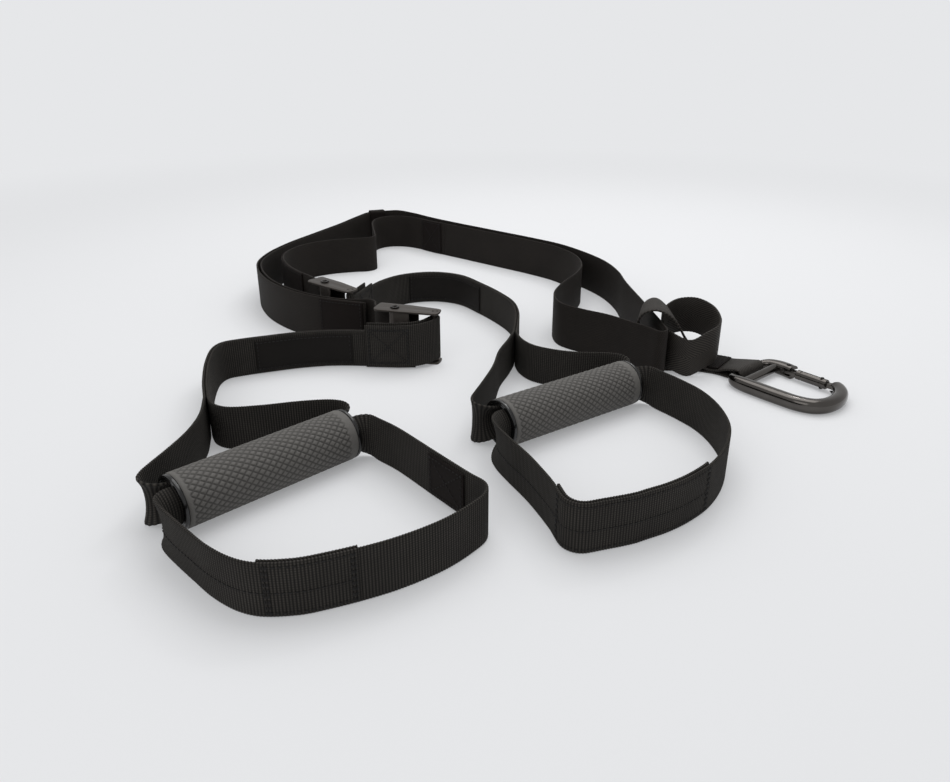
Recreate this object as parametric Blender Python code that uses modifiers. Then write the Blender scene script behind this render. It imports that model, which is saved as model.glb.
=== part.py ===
"""Suspension trainer lying on a floor, its webbing standing on edge. Units are metres, +Z is up."""

import math

import bmesh
import bpy
from mathutils import Matrix, Vector

for old in list(bpy.data.objects):
    bpy.data.objects.remove(old, do_unlink=True)

# Layout unit: every route and place below is a share of it
LAYOUT = 0.100

# Webbing
MAIN_WIDTH = 0.038
MAIN_THICK = 0.0015
WEB_WIDTH = 0.030
WEB_THICK = 0.0018
TAB_INSET = 0.003
TAB_WIDTH = MAIN_WIDTH - TAB_INSET
TAPE_WIDTH = 0.032
TAPE_THICK = 0.0016
PATCH_THICK = 0.0010
LAY_GAP = 0.0003
TAIL_STEP = 0.0036
BUTT_GAP = 0.0006
LIFT = 0.0024

# Grips
GRIP_LENGTH = 0.114
GRIP_RADIUS = 0.016
TUBE_RADIUS = 0.0135
BORE_RADIUS = 0.01225
CAP_LENGTH = 0.003
CAP_ROUND = 0.0008
GRIP_GAP = 0.0003

# Cam buckles
EAR_THICK = 0.0016
EAR_LENGTH = 0.054
EAR_HALF = 0.009
STRAP_ROOM = 0.0014
EAR_SPAN = MAIN_WIDTH + STRAP_ROOM
PIN_RADIUS = 0.0023
PIN_BORE = 0.0013
PIN_HEAD = 0.0038
PIN_HEAD_THICK = 0.0009
PIN_GAP = 0.0003
CAM_RADIUS = 0.0060
CAM_GAP = 0.0004
BAR_RADIUS = 0.0022
SPRING_ROOM = 0.0058
SPRING_RADIUS = 0.0034
SPRING_WIRE = 0.00035

# Carabiner
ROD_RADIUS = 0.0052
END_BAR_RADIUS = 0.0028
CROSS_RADIUS = 0.0034
GATE_RADIUS = 0.0037
TONGUE_THICK = 0.0036
TONGUE_GAP = 0.0004
HINGE_RADIUS = 0.0014
CARABINER_UNIT = 0.0097

COLLECTION = bpy.data.collections.new("suspension_trainer")
bpy.context.scene.collection.children.link(COLLECTION)
CUTTERS = bpy.data.collections.new("cutters")
bpy.context.scene.collection.children.link(CUTTERS)


def finish(name, colour_shares, rough_share, metal_share):
    """Return a Principled material."""
    made = bpy.data.materials.new(name)
    made.use_nodes = True
    shader = made.node_tree.nodes["Principled BSDF"]
    shader.inputs["Base Color"].default_value = (*colour_shares, 1.0)
    shader.inputs["Roughness"].default_value = rough_share
    shader.inputs["Metallic"].default_value = metal_share
    return made


def adopt(obj, collection=COLLECTION):
    """Move an object into one collection only."""
    for holder in list(obj.users_collection):
        holder.objects.unlink(obj)
    collection.objects.link(obj)
    return obj


def from_bmesh(name, build, look):
    """Turn a bmesh into a named object."""
    bmesh.ops.recalc_face_normals(build, faces=build.faces)
    data = bpy.data.meshes.new(name)
    build.to_mesh(data)
    build.free()
    made = bpy.data.objects.new(name, data)
    COLLECTION.objects.link(made)
    give_look(made, look)
    return made


def give_look(obj, look):
    """Give an object its own copy of a material."""
    own = look.copy()
    own.name = obj.name + "_mat"
    obj.data.materials.append(own)


def smooth_route(points, steps):
    """Sample a smooth curve through the points; each span gets the same number of steps."""
    rows = [Vector(p) for p in points]
    first = rows[0] * 2.0 - rows[1]
    last = rows[-1] * 2.0 - rows[-2]
    rows = [first] + rows + [last]
    found = []
    for i in range(1, len(rows) - 2):
        a, b, c, d = rows[i - 1], rows[i], rows[i + 1], rows[i + 2]
        gaps = []
        for one, two in ((a, b), (b, c), (c, d)):
            gaps.append(max(math.sqrt((two.xyz - one.xyz).length), math.sqrt(LAY_GAP)))
        t1 = gaps[0]
        t2 = t1 + gaps[1]
        t3 = t2 + gaps[2]
        for k in range(steps):
            t = t1 + (t2 - t1) * k / steps
            a1 = a * ((t1 - t) / t1) + b * (t / t1)
            a2 = b * ((t2 - t) / (t2 - t1)) + c * ((t - t1) / (t2 - t1))
            a3 = c * ((t3 - t) / (t3 - t2)) + d * ((t - t2) / (t3 - t2))
            b1 = a1 * ((t2 - t) / t2) + a2 * (t / t2)
            b2 = a2 * ((t3 - t) / (t3 - t1)) + a3 * ((t - t1) / (t3 - t1))
            found.append(b1 * ((t2 - t) / (t2 - t1)) + b2 * ((t - t1) / (t2 - t1)))
    found.append(rows[-2])
    return found


def plan_normals(stations):
    """Left-hand plan normals along a route."""
    normals = []
    for i, here in enumerate(stations):
        before = stations[max(i - 1, 0)]
        after = stations[min(i + 1, len(stations) - 1)]
        along = Vector((after.x - before.x, after.y - before.y)).normalized()
        normals.append(Vector((-along.y, along.x, 0.0)))
    return normals


def shift_route(stations, distance):
    """Move a route sideways in plan, to the left for a positive distance."""
    moved = []
    for here, side in zip(stations, plan_normals(stations)):
        moved.append(Vector((here.x + side.x * distance, here.y + side.y * distance, here.z, here.w)))
    return moved


def part_route(stations, start_share, end_share):
    """Cut out the stretch of a route between two shares of its length."""
    lengths = [0.0]
    for one, two in zip(stations, stations[1:]):
        lengths.append(lengths[-1] + (two.xyz - one.xyz).length)
    low = lengths[-1] * start_share
    high = lengths[-1] * end_share
    found = [at_length(stations, lengths, low)]
    for here, run in zip(stations, lengths):
        if low + BUTT_GAP < run < high - BUTT_GAP:
            found.append(here)
    found.append(at_length(stations, lengths, high))
    return found


def at_length(stations, lengths, run):
    """Return the station at one run length."""
    for i in range(1, len(stations)):
        if run <= lengths[i]:
            share = (run - lengths[i - 1]) / (lengths[i] - lengths[i - 1])
            return stations[i - 1].lerp(stations[i], share)
    return stations[-1]


def section(here, side, width, cross):
    """Points across upright webbing; the fourth value of a station is its curl, positive to the left."""
    found = []
    for k in range(cross + 1):
        s = width * (k / cross - 0.5)
        curl = here.w
        if abs(curl) * width < LAY_GAP / BORE_RADIUS:
            up = s
            out = 0.0
        else:
            up = math.sin(curl * s) / curl
            out = (1.0 - math.cos(curl * s)) / curl
        found.append(here.xyz + Vector((0.0, 0.0, up)) + side * out)
    return found


def strip(name, rows, thick, look, closed=False):
    """Skin rows of points and give the sheet its thickness."""
    build = bmesh.new()
    grid = [[build.verts.new(p) for p in row] for row in rows]
    pairs = list(zip(grid, grid[1:]))
    if closed:
        pairs.append((grid[-1], grid[0]))
    for one, two in pairs:
        for k in range(len(one) - 1):
            build.faces.new((one[k], one[k + 1], two[k + 1], two[k]))
    made = from_bmesh(name, build, look)
    shell = made.modifiers.new("thickness", "SOLIDIFY")
    shell.thickness = thick
    shell.offset = 0.0
    shell.use_quality_normals = True
    return made


def upright(name, stations, width, thick, look, cross=1, closed=False):
    """Webbing standing on edge along a route of stations."""
    sides = plan_normals(stations)
    if closed:
        ahead = stations[1]
        behind = stations[-1]
        along = Vector((ahead.x - behind.x, ahead.y - behind.y)).normalized()
        sides[0] = Vector((-along.y, along.x, 0.0))
        ahead = stations[0]
        behind = stations[-2]
        along = Vector((ahead.x - behind.x, ahead.y - behind.y)).normalized()
        sides[-1] = Vector((-along.y, along.x, 0.0))
    rows = [section(here, side, width, cross) for here, side in zip(stations, sides)]
    return strip(name, rows, thick, look, closed)


def floor_route(shares, width, steps):
    """Smooth a route of (x, y, lift) shares for webbing that stands on the floor."""
    points = []
    for x_share, y_share, lift_share in shares:
        points.append((x_share * LAYOUT, y_share * LAYOUT, width / 2.0 + lift_share * LIFT, 0.0))
    return smooth_route(points, steps)


def cylinder(name, radius, length, look, sides=20):
    """Upright closed cylinder centred on its origin."""
    build = bmesh.new()
    bmesh.ops.create_cone(
        build, cap_ends=True, segments=sides, radius1=radius, radius2=radius, depth=length
    )
    return from_bmesh(name, build, look)


def box(name, size, look):
    """Closed box centred on its origin."""
    build = bmesh.new()
    bmesh.ops.create_cube(build, size=1.0)
    bmesh.ops.scale(build, vec=size, verts=build.verts)
    return from_bmesh(name, build, look)


def turned(name, profile, look, sides=28):
    """Body of revolution about Z; the closed profile runs down its outer side and up its inner side."""
    build = bmesh.new()
    corners = [build.verts.new((r, 0.0, z)) for r, z in profile]
    for one, two in zip(corners, corners[1:] + corners[:1]):
        build.edges.new((one, two))
    made = from_bmesh(name, build, look)
    spin = made.modifiers.new("turn", "SCREW")
    spin.angle = math.tau
    spin.steps = sides
    spin.render_steps = sides
    spin.use_merge_vertices = True
    spin.merge_threshold = 0.00001
    return made


def slab(name, outline, thick, look, holes=()):
    """Flat plate from an outline in plan, centred on its mid-plane."""
    flat = bpy.data.curves.new(name, "CURVE")
    flat.dimensions = "2D"
    flat.fill_mode = "BOTH"
    flat.extrude = thick / 2.0
    for corners in (outline, *holes):
        line = flat.splines.new("POLY")
        line.points.add(len(corners) - 1)
        for point, (x, y) in zip(line.points, corners):
            point.co = (x, y, 0.0, 1.0)
        line.use_cyclic_u = True
    drawn = bpy.data.objects.new(name + "_outline", flat)
    COLLECTION.objects.link(drawn)
    bpy.context.view_layer.update()
    data = bpy.data.meshes.new_from_object(drawn)
    bpy.data.objects.remove(drawn, do_unlink=True)
    build = bmesh.new()
    build.from_mesh(data)
    bmesh.ops.remove_doubles(build, verts=build.verts, dist=0.00001)
    return from_bmesh(name, build, look)


def ring_points(x, y, radius, count):
    """Corners of a circle in plan."""
    found = []
    for k in range(count):
        turn = math.tau * k / count
        found.append((x + radius * math.cos(turn), y + radius * math.sin(turn)))
    return found


def join(base, tool, operation="UNION"):
    """Boolean one object with another, which then leaves the part."""
    adopt(tool, CUTTERS)
    tool.hide_render = True
    tool.display_type = "WIRE"
    step = base.modifiers.new("join_" + tool.name, "BOOLEAN")
    step.operation = operation
    step.solver = "EXACT"
    step.object = tool


WEBBING = finish("black_webbing", (0.012, 0.011, 0.010), 0.85, 0.0)
TWILL = finish("twill_webbing", (0.020, 0.018, 0.016), 0.8, 0.0)
SEWN = finish("sewn_patch", (0.010, 0.007, 0.006), 0.9, 0.0)
RUBBER = finish("grip_rubber", (0.085, 0.080, 0.076), 0.75, 0.0)
PLASTIC = finish("black_plastic", (0.015, 0.015, 0.015), 0.4, 0.0)
STEEL = finish("buckle_steel", (0.150, 0.135, 0.125), 0.45, 0.8)
GUNMETAL = finish("gunmetal", (0.070, 0.070, 0.072), 0.3, 0.9)
BRIGHT = finish("bright_pin", (0.450, 0.440, 0.430), 0.3, 1.0)


class Grip:
    """One hand grip: its place, its heading and its four pieces."""

    def __init__(self, mark, x_share, y_share, heading):
        self.mark = mark
        self.centre = Vector((x_share * LAYOUT, y_share * LAYOUT, GRIP_RADIUS))
        self.heading = heading
        self.along = Vector((math.cos(heading), math.sin(heading), 0.0))
        self.back = Vector((-self.along.y, self.along.x, 0.0))

    def station(self, along, across, curl_share):
        """Station beside or inside the bore; the curl share is signed."""
        spot = self.centre + self.along * along + self.back * across
        return (spot.x, spot.y, spot.z, curl_share / CURL_RADIUS)

    def place(self, obj, along):
        """Lay a piece of the grip on its axis."""
        obj.location = self.centre + self.along * along
        obj.rotation_euler = (0.0, math.pi / 2.0, self.heading)

    def build(self):
        """Make the rubber, the tube and the caps."""
        half = GRIP_LENGTH / 2.0
        rubber_half = half - CAP_LENGTH - GRIP_GAP
        inner = TUBE_RADIUS + GRIP_GAP
        rubber = turned(
            "grip_rubber_" + self.mark,
            [(GRIP_RADIUS, rubber_half), (GRIP_RADIUS, -rubber_half), (inner, -rubber_half), (inner, rubber_half)],
            RUBBER,
        )
        self.place(rubber, 0.0)
        tube = turned(
            "grip_tube_" + self.mark,
            [(TUBE_RADIUS, half), (TUBE_RADIUS, -half), (BORE_RADIUS, -half), (BORE_RADIUS, half)],
            PLASTIC,
        )
        self.place(tube, 0.0)
        edge = CAP_LENGTH / 2.0
        for label, side in (("left", -1.0), ("right", 1.0)):
            outside = edge * side
            rounded = GRIP_RADIUS - CAP_ROUND
            if side > 0.0:
                profile = [(rounded, edge), (GRIP_RADIUS, edge - CAP_ROUND), (GRIP_RADIUS, -edge)]
            else:
                profile = [(GRIP_RADIUS, edge), (GRIP_RADIUS, CAP_ROUND - edge), (rounded, -edge)]
            profile += [(inner, -edge), (inner, edge)]
            cap = turned("grip_cap_" + label + "_" + self.mark, profile, PLASTIC)
            self.place(cap, half * side - outside)


CURL_RADIUS = BORE_RADIUS - WEB_THICK / 2.0 - LAY_GAP


class Buckle:
    """One cam buckle standing on edge; local x runs from its jaw to its rear bar."""

    def __init__(self, mark, x_share, y_share, heading):
        self.mark = mark
        self.height = EAR_THICK + EAR_SPAN / 2.0
        self.head = Vector((x_share * LAYOUT, y_share * LAYOUT, self.height))
        self.heading = heading
        self.along = Vector((math.cos(heading), math.sin(heading), 0.0))
        self.left = Vector((-self.along.y, self.along.x, 0.0))
        self.pin_run = EAR_LENGTH * 0.30
        self.bar_run = EAR_LENGTH * 0.92
        self.base_line = EAR_HALF - EAR_THICK / 2.0
        self.strap_line = self.base_line - EAR_THICK / 2.0 - LAY_GAP - MAIN_THICK / 2.0
        self.pin_line = self.strap_line - MAIN_THICK / 2.0 - LAY_GAP - CAM_RADIUS

    def spot(self, run, across, rise=0.0):
        """World place of a local point."""
        return self.head + self.along * run + self.left * across + Vector((0.0, 0.0, rise))

    def place(self, obj, run, across, rise=0.0):
        """Put a piece at a local point."""
        obj.location = self.spot(run, across, rise)
        obj.rotation_euler = (0.0, 0.0, self.heading)

    def ear_outline(self):
        """Outline of one side plate, as shares of its length and half width."""
        shares = [
            (0.02, -0.85), (0.06, -1.0), (0.45, -0.95), (0.93, -0.62), (0.98, -0.45), (1.0, 0.0),
            (0.98, 0.42), (0.93, 0.62), (0.50, 1.0), (0.03, 1.0), (0.0, 0.85), (0.0, -0.6),
        ]
        return [(x * EAR_LENGTH, y * EAR_HALF) for x, y in shares]

    def build(self):
        """Make the frame, cam, rivet, spring and rear bar."""
        pin_hole = ring_points(self.pin_run, self.pin_line, PIN_RADIUS + PIN_GAP, 20)
        bar_hole = ring_points(self.bar_run, 0.0, BAR_RADIUS + PIN_GAP, 20)
        rise = (EAR_SPAN + EAR_THICK) / 2.0
        frame = slab("buckle_frame_" + self.mark, self.ear_outline(), EAR_THICK, STEEL, (pin_hole, bar_hole))
        self.place(frame, 0.0, 0.0, rise)
        under = slab("buckle_ear_" + self.mark, self.ear_outline(), EAR_THICK, STEEL, (pin_hole, bar_hole))
        self.place(under, 0.0, 0.0, -rise)
        base_length = EAR_LENGTH * 0.50
        base = box("buckle_base_" + self.mark, (base_length, EAR_THICK, EAR_SPAN + EAR_THICK), STEEL)
        self.place(base, base_length / 2.0 + EAR_THICK, self.base_line - EAR_THICK * 0.1)
        join(frame, base)
        join(frame, under)

        cam_height = EAR_SPAN - CAM_GAP * 2.0 - SPRING_ROOM
        cam_hole = ring_points(0.0, 0.0, PIN_RADIUS + PIN_GAP, 20)
        cam = slab("cam_lever_" + self.mark, self.cam_outline(), cam_height, STEEL, (cam_hole,))
        self.place(cam, self.pin_run, self.pin_line, SPRING_ROOM / 2.0)

        top = EAR_SPAN / 2.0 + EAR_THICK + LAY_GAP
        head_top = top + PIN_HEAD_THICK
        rivet = turned(
            "cam_rivet_" + self.mark,
            [
                (PIN_HEAD, head_top), (PIN_HEAD, top), (PIN_RADIUS, top), (PIN_RADIUS, -top + LAY_GAP * 2.0),
                (PIN_BORE, -top + LAY_GAP * 2.0), (PIN_BORE, head_top),
            ],
            BRIGHT,
            24,
        )
        self.place(rivet, self.pin_run, self.pin_line)

        bar = cylinder("rear_bar_" + self.mark, BAR_RADIUS, EAR_SPAN + EAR_THICK * 2.0, STEEL)
        self.place(bar, self.bar_run, 0.0)
        self.build_spring()

    def cam_outline(self):
        """Toothed cam with its thumb lever, drawn about the pin."""
        points = []
        teeth = 5
        start = math.radians(50.0)
        sweep = math.radians(80.0) / teeth
        for k in range(teeth):
            turn = start + sweep * k
            root = CAM_RADIUS * 0.84
            points.append((root * math.cos(turn), root * math.sin(turn)))
            tip = turn + sweep / 2.0
            points.append((CAM_RADIUS * math.cos(tip), CAM_RADIUS * math.sin(tip)))
        for degrees in (132.0, 160.0, 190.0, 220.0, 250.0):
            turn = math.radians(degrees)
            points.append((CAM_RADIUS * 0.80 * math.cos(turn), CAM_RADIUS * 0.80 * math.sin(turn)))
        lever_shares = [
            (0.10, -0.90), (1.20, -0.98), (2.20, -1.12), (2.35, -1.02), (2.30, -0.78), (1.20, -0.66),
            (0.72, -0.40), (0.80, 0.10),
        ]
        points += [(x * CAM_RADIUS, y * CAM_RADIUS) for x, y in lever_shares]
        return points

    def build_spring(self):
        """Coil round the rivet, below the cam."""
        turns = 3
        per_turn = 10
        pitch = SPRING_ROOM * 0.24
        line = bpy.data.curves.new("cam_spring_" + self.mark, "CURVE")
        line.dimensions = "3D"
        line.bevel_depth = SPRING_WIRE
        line.bevel_resolution = 1
        line.use_fill_caps = True
        wire = line.splines.new("POLY")
        wire.points.add(turns * per_turn)
        low = -EAR_SPAN / 2.0 + SPRING_ROOM * 0.14
        for k in range(turns * per_turn + 1):
            turn = math.tau * k / per_turn
            height = low + pitch * k / per_turn
            wire.points[k].co = (SPRING_RADIUS * math.cos(turn), SPRING_RADIUS * math.sin(turn), height, 1.0)
        print("spring self gap mm", (pitch - SPRING_WIRE * 2.0) * 1000.0)
        spring = bpy.data.objects.new("cam_spring_" + self.mark, line)
        COLLECTION.objects.link(spring)
        give_look(spring, STEEL)
        self.place(spring, self.pin_run, self.pin_line)


# Places of the grips and buckles
GRIP_A = Grip("a", -1.424, -2.449, math.radians(45.0))
GRIP_B = Grip("b", 0.385, -1.586, math.radians(35.7))
BUCKLE_A = Buckle("a", -1.02, -0.33, math.radians(-16.7))
BUCKLE_B = Buckle("b", -1.66, 0.44, math.radians(-41.9))
HALF_GRIP = GRIP_LENGTH / 2.0
ENTRY = 0.03 * LAYOUT
END_SHARE = 0.57
CROSS = 4


def on_floor(shares, grip=None, end=0.0):
    """Turn (x, y, curl) shares into stations of hand webbing; curled ones keep to their end of the grip."""
    found = []
    for x_share, y_share, curl_share in shares:
        spot = Vector((x_share * LAYOUT, y_share * LAYOUT, WEB_WIDTH / 2.0))
        if grip is not None:
            slide = (HALF_GRIP - END_SHARE * LAYOUT) * end
            if curl_share:
                spot += grip.along * slide
        found.append((spot.x, spot.y, spot.z, curl_share / CURL_RADIUS))
    return found


def through_bore(grip, side, curl_sign):
    """Stations through a bore: side 1 runs along its back wall and -1 along its front wall."""
    across = CURL_RADIUS * side
    found = []
    for share in (-1.0, -0.5, 0.0, 0.5, 1.0):
        found.append(grip.station(HALF_GRIP * share, across, curl_sign))
    before = [grip.station(-HALF_GRIP - ENTRY, across, curl_sign * 0.9)]
    after = [grip.station(HALF_GRIP + ENTRY, across, curl_sign * 0.9)]
    return before + found + after


def handle_strap(mark, bundle, fork_out, fork_back, grip):
    """Doubled hand strap: out along the bundle, down one leg, through the grip, back up the other leg."""
    bundle_route = smooth_route(on_floor(bundle), 3)
    half_step = (WEB_THICK + LAY_GAP) / 2.0
    outward = shift_route(bundle_route, -half_step)
    inward = list(reversed(shift_route(bundle_route, half_step)))
    legs = [tuple(outward[-1])]
    legs += on_floor(fork_out, grip, -1.0)
    legs += through_bore(grip, 1.0, -1.0)
    legs += on_floor(fork_back, grip, 1.0)
    legs += [tuple(inward[0])]
    loop = smooth_route(legs, 3)
    stations = outward[:-1] + loop + inward[1:]
    upright("handle_strap_" + mark, stations, WEB_WIDTH, WEB_THICK, WEBBING, CROSS)
    return bundle_route


BUNDLE_A = [
    (-0.70, -0.590, 0.0), (-0.85, -0.595, 0.0), (-1.10, -0.560, 0.0), (-1.36, -0.555, 0.0), (-1.60, -0.60, 0.0),
    (-1.85, -0.69, 0.0), (-2.02, -0.76, 0.0), (-2.12, -0.82, 0.0), (-2.155, -0.92, 0.0), (-2.13, -1.17, 0.0),
    (-2.04, -1.53, 0.0), (-1.95, -1.80, 0.0),
]
LEG_OUT_A = [
    (-1.91, -2.05, 0.0), (-1.91, -2.27, 0.0), (-1.945, -2.48, 0.0), (-1.985, -2.65, 0.0), (-1.995, -2.75, -0.12),
    (-1.975, -2.800, -0.4),
]
LEG_BACK_A = [
    (-1.058, -1.91, -0.4), (-1.08, -1.87, -0.12), (-1.16, -1.845, 0.0), (-1.34, -1.87, 0.0), (-1.57, -1.93, 0.0),
    (-1.78, -1.955, 0.0), (-1.88, -1.90, 0.0),
]
BUNDLE_B = [
    (-1.265, 0.21, 0.0), (-1.24, 0.36, 0.0), (-1.19, 0.60, 0.0), (-1.10, 0.82, 0.0), (-0.95, 1.00, 0.0),
    (-0.77, 1.09, 0.0), (-0.57, 1.10, 0.0), (-0.37, 1.00, 0.0), (-0.18, 0.73, 0.0), (-0.01, 0.43, 0.0),
    (0.09, 0.18, 0.0), (0.12, -0.08, 0.0), (0.10, -0.40, 0.0), (0.08, -0.58, 0.0),
]
LEG_OUT_B = [
    (0.02, -0.76, 0.0), (-0.05, -0.98, 0.0), (-0.10, -1.27, 0.0), (-0.17, -1.53, 0.0), (-0.225, -1.71, 0.0),
    (-0.24, -1.80, -0.12), (-0.215, -1.852, -0.4),
]
LEG_BACK_B = [
    (0.828, -1.11, -0.4), (0.812, -1.07, -0.12), (0.74, -1.035, 0.0), (0.53, -1.02, 0.0), (0.36, -0.97, 0.0),
    (0.20, -0.87, 0.0), (0.12, -0.73, 0.0),
]

bundle_a = handle_strap("a", BUNDLE_A, LEG_OUT_A, LEG_BACK_A, GRIP_A)
bundle_b = handle_strap("b", BUNDLE_B, LEG_OUT_B, LEG_BACK_B, GRIP_B)


def foot_loop(mark, before, after, grip):
    """Closed foot loop from its seam, through the grip along the front wall and back to the seam."""
    points = on_floor(before, grip, -1.0) + through_bore(grip, -1.0, 1.0)
    points += on_floor(after, grip, 1.0)
    stations = part_route(smooth_route(points, 3), 0.0, 1.0)
    upright("foot_loop_" + mark, stations, WEB_WIDTH, WEB_THICK, WEBBING, CROSS)
    return stations


FOOT_BEFORE_A = [
    (-0.955, -3.525, 0.0), (-1.03, -3.545, 0.0), (-1.20, -3.555, 0.0), (-1.31, -3.52, 0.0), (-1.45, -3.425, 0.0),
    (-1.58, -3.30, 0.0), (-1.71, -3.17, 0.0), (-1.79, -3.065, 0.15), (-1.805, -3.00, 0.45),
]
FOOT_AFTER_A = [
    (-0.885, -2.085, 0.45), (-0.845, -2.10, 0.15), (-0.70, -2.225, 0.0), (-0.47, -2.51, 0.0), (-0.26, -2.77, 0.0),
    (-0.175, -2.87, 0.0), (-0.175, -2.96, 0.0), (-0.24, -3.06, 0.0), (-0.38, -3.21, 0.0), (-0.59, -3.36, 0.0),
    (-0.78, -3.455, 0.0), (-0.945, -3.521, 0.0),
]
FOOT_BEFORE_B = [
    (0.655, -2.955, 0.0), (0.60, -2.985, 0.0), (0.42, -3.045, 0.0), (0.30, -3.075, 0.0), (0.225, -3.03, 0.0),
    (0.17, -2.85, 0.0), (0.07, -2.58, 0.0), (-0.03, -2.37, 0.0), (-0.085, -2.21, 0.15), (-0.085, -2.10, 0.45),
]
FOOT_AFTER_B = [
    (0.975, -1.315, 0.45), (1.015, -1.345, 0.15), (1.14, -1.51, 0.0), (1.24, -1.70, 0.0), (1.29, -1.93, 0.0),
    (1.28, -2.20, 0.0), (1.20, -2.43, 0.0), (1.07, -2.64, 0.0), (0.92, -2.79, 0.0), (0.78, -2.89, 0.0),
    (0.665, -2.950, 0.0),
]
foot_a = foot_loop("a", FOOT_BEFORE_A, FOOT_AFTER_A, GRIP_A)
foot_b = foot_loop("b", FOOT_BEFORE_B, FOOT_AFTER_B, GRIP_B)


def sewn_on(name, stations, start_share, end_share, side, width, thick, under_thick, look):
    """Patch sewn on one side of a strap: side 1 is the left of the route."""
    stretch = part_route(stations, start_share, end_share)
    step = (under_thick + thick) / 2.0 + LAY_GAP
    upright(name, shift_route(stretch, step * side), width, thick, look)


# The sewn pads bridge each loop's seam on its inner side
def seam_pad(mark, stations, end_share, start_share):
    """Overlay pad that crosses the seam of a foot loop, on its inner side."""
    last = part_route(stations, end_share, 1.0)
    first = part_route(stations, 0.0, start_share)
    step = WEB_THICK + LAY_GAP
    joined = shift_route(last[:-1] + first[1:], -step)
    upright("foot_pad_" + mark, joined, WEB_WIDTH, WEB_THICK, WEBBING)


seam_pad("a", foot_a, 0.955, 0.055)
seam_pad("b", foot_b, 0.90, 0.130)
sewn_on("foot_patch_a", foot_a, 0.66, 0.73, -1.0, WEB_WIDTH * 0.86, PATCH_THICK, WEB_THICK, SEWN)
sewn_on("foot_patch_b", foot_b, 0.15, 0.172, 1.0, WEB_WIDTH * 0.86, PATCH_THICK, WEB_THICK, SEWN)

BUNDLE_THICK = WEB_THICK * 2.0 + LAY_GAP
sewn_on("label_patch_a", bundle_a, 0.20, 0.50, 1.0, WEB_WIDTH * 0.80, PATCH_THICK, BUNDLE_THICK, SEWN)
sewn_on("label_patch_b", bundle_b, 0.30, 0.58, -1.0, WEB_WIDTH * 0.80, PATCH_THICK, BUNDLE_THICK, SEWN)


def buckle_tab(buckle, legs):
    """Tab folded round a rear bar, its two legs either side of the hand strap."""
    bar = buckle.spot(buckle.bar_run, 0.0)
    half = BUNDLE_THICK / 2.0 + LAY_GAP + WEB_THICK / 2.0
    radius = max(half, BAR_RADIUS + LAY_GAP + WEB_THICK / 2.0)
    low = TAB_WIDTH / 2.0 + LAY_GAP
    centre = [(bar.x, bar.y, bar.z, 0.0)]
    count = len(legs)
    for i, (x_share, y_share) in enumerate(legs):
        height = bar.z + (low - bar.z) * (i + 1) / count
        centre.append((x_share * LAYOUT, y_share * LAYOUT, height, 0.0))
    route = smooth_route(centre, 3)
    one = list(reversed(shift_route(route, radius)))
    two = shift_route(route, -radius)
    away = (route[0] - route[1]).xyz.normalized()
    side = plan_normals(route)[0]
    fold = []
    for degrees in (30.0, 60.0, 90.0, 120.0, 150.0):
        turn = math.radians(degrees)
        spot = bar + side * radius * math.cos(turn) + away * radius * math.sin(turn)
        fold.append(Vector((spot.x, spot.y, bar.z, 0.0)))
    stations = one + fold + two
    upright("buckle_tab_" + buckle.mark, stations, TAB_WIDTH, WEB_THICK, WEBBING)


buckle_tab(BUCKLE_A, [(-0.615, -0.555), (-0.70, -0.590), (-0.85, -0.595), (-1.08, -0.563)])
buckle_tab(BUCKLE_B, [(-1.265, 0.21), (-1.24, 0.36), (-1.20, 0.56)])

GRIP_A.build()
GRIP_B.build()
BUCKLE_A.build()
BUCKLE_B.build()

# Main webbing
LEFT_STRAND = [
    (-1.14, -0.10, 0.0), (-1.28, -0.06, 0.0), (-1.47, 0.01, 0.0), (-1.66, 0.11, 0.0), (-1.84, 0.25, 0.0),
    (-2.00, 0.42, 0.0), (-2.14, 0.62, 0.0), (-2.28, 0.92, 0.0), (-2.35, 1.20, 0.0), (-2.33, 1.55, 0.0),
    (-2.22, 1.95, 0.0), (-2.02, 2.42, 0.0), (-1.80, 2.90, 0.2), (-1.66, 3.20, 0.7), (-1.53, 3.435, 1.0),
    (-1.36, 3.51, 1.0),
]
RIGHT_STRAND = [
    (-1.3556, 3.5118, 1.0), (-1.19, 3.545, 1.0), (-0.98, 3.41, 0.7), (-0.75, 3.21, 0.2), (-0.49, 2.98, 0.0),
    (0.00, 2.54, 0.0), (0.40, 2.18, 0.0), (0.66, 1.92, 0.0), (0.88, 1.58, 0.0), (1.04, 1.22, 0.0),
    (1.11, 0.86, 0.0), (1.12, 0.50, 0.1), (1.155, -0.05, 0.6), (1.18, -0.45, 1.0), (1.20, -0.72, 1.0),
    (1.20, -0.84, 1.0), (1.15, -0.87, 1.0), (1.08, -0.77, 0.9), (0.97, -0.61, 0.5), (0.82, -0.42, 0.2),
    (0.64, -0.27, 0.0), (0.48, -0.10, 0.0), (0.45, 0.15, 0.0), (0.54, 0.45, 0.0), (0.72, 0.82, 0.0),
    (0.80, 1.10, 0.0), (0.78, 1.45, 0.0), (0.62, 1.80, 0.0), (0.36, 2.08, 0.0), (0.02, 2.38, 0.0),
    (-0.30, 2.66, 0.0), (-0.58, 2.90, 0.0),
]
INNER_STRAND = [
    (-0.582, 2.902, 0.0), (-0.75, 3.05, 0.0), (-0.93, 3.22, 0.0), (-1.12, 3.32, 0.0), (-1.30, 3.30, 0.0),
    (-1.41, 3.18, 0.0), (-1.44, 3.00, 0.0), (-1.40, 2.70, 0.0), (-1.35, 2.42, 0.0), (-1.335, 2.28, 0.0),
    (-1.40, 2.20, 0.0), (-1.58, 2.16, 0.0), (-1.80, 2.08, 0.0), (-2.00, 1.93, 0.0), (-2.13, 1.70, 0.0),
    (-2.15, 1.42, 0.0), (-2.05, 1.12, 0.0), (-1.90, 0.86, 0.3), (-1.74, 0.64, 0.8),
]
left_route = floor_route(LEFT_STRAND, MAIN_WIDTH, 3)
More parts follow.
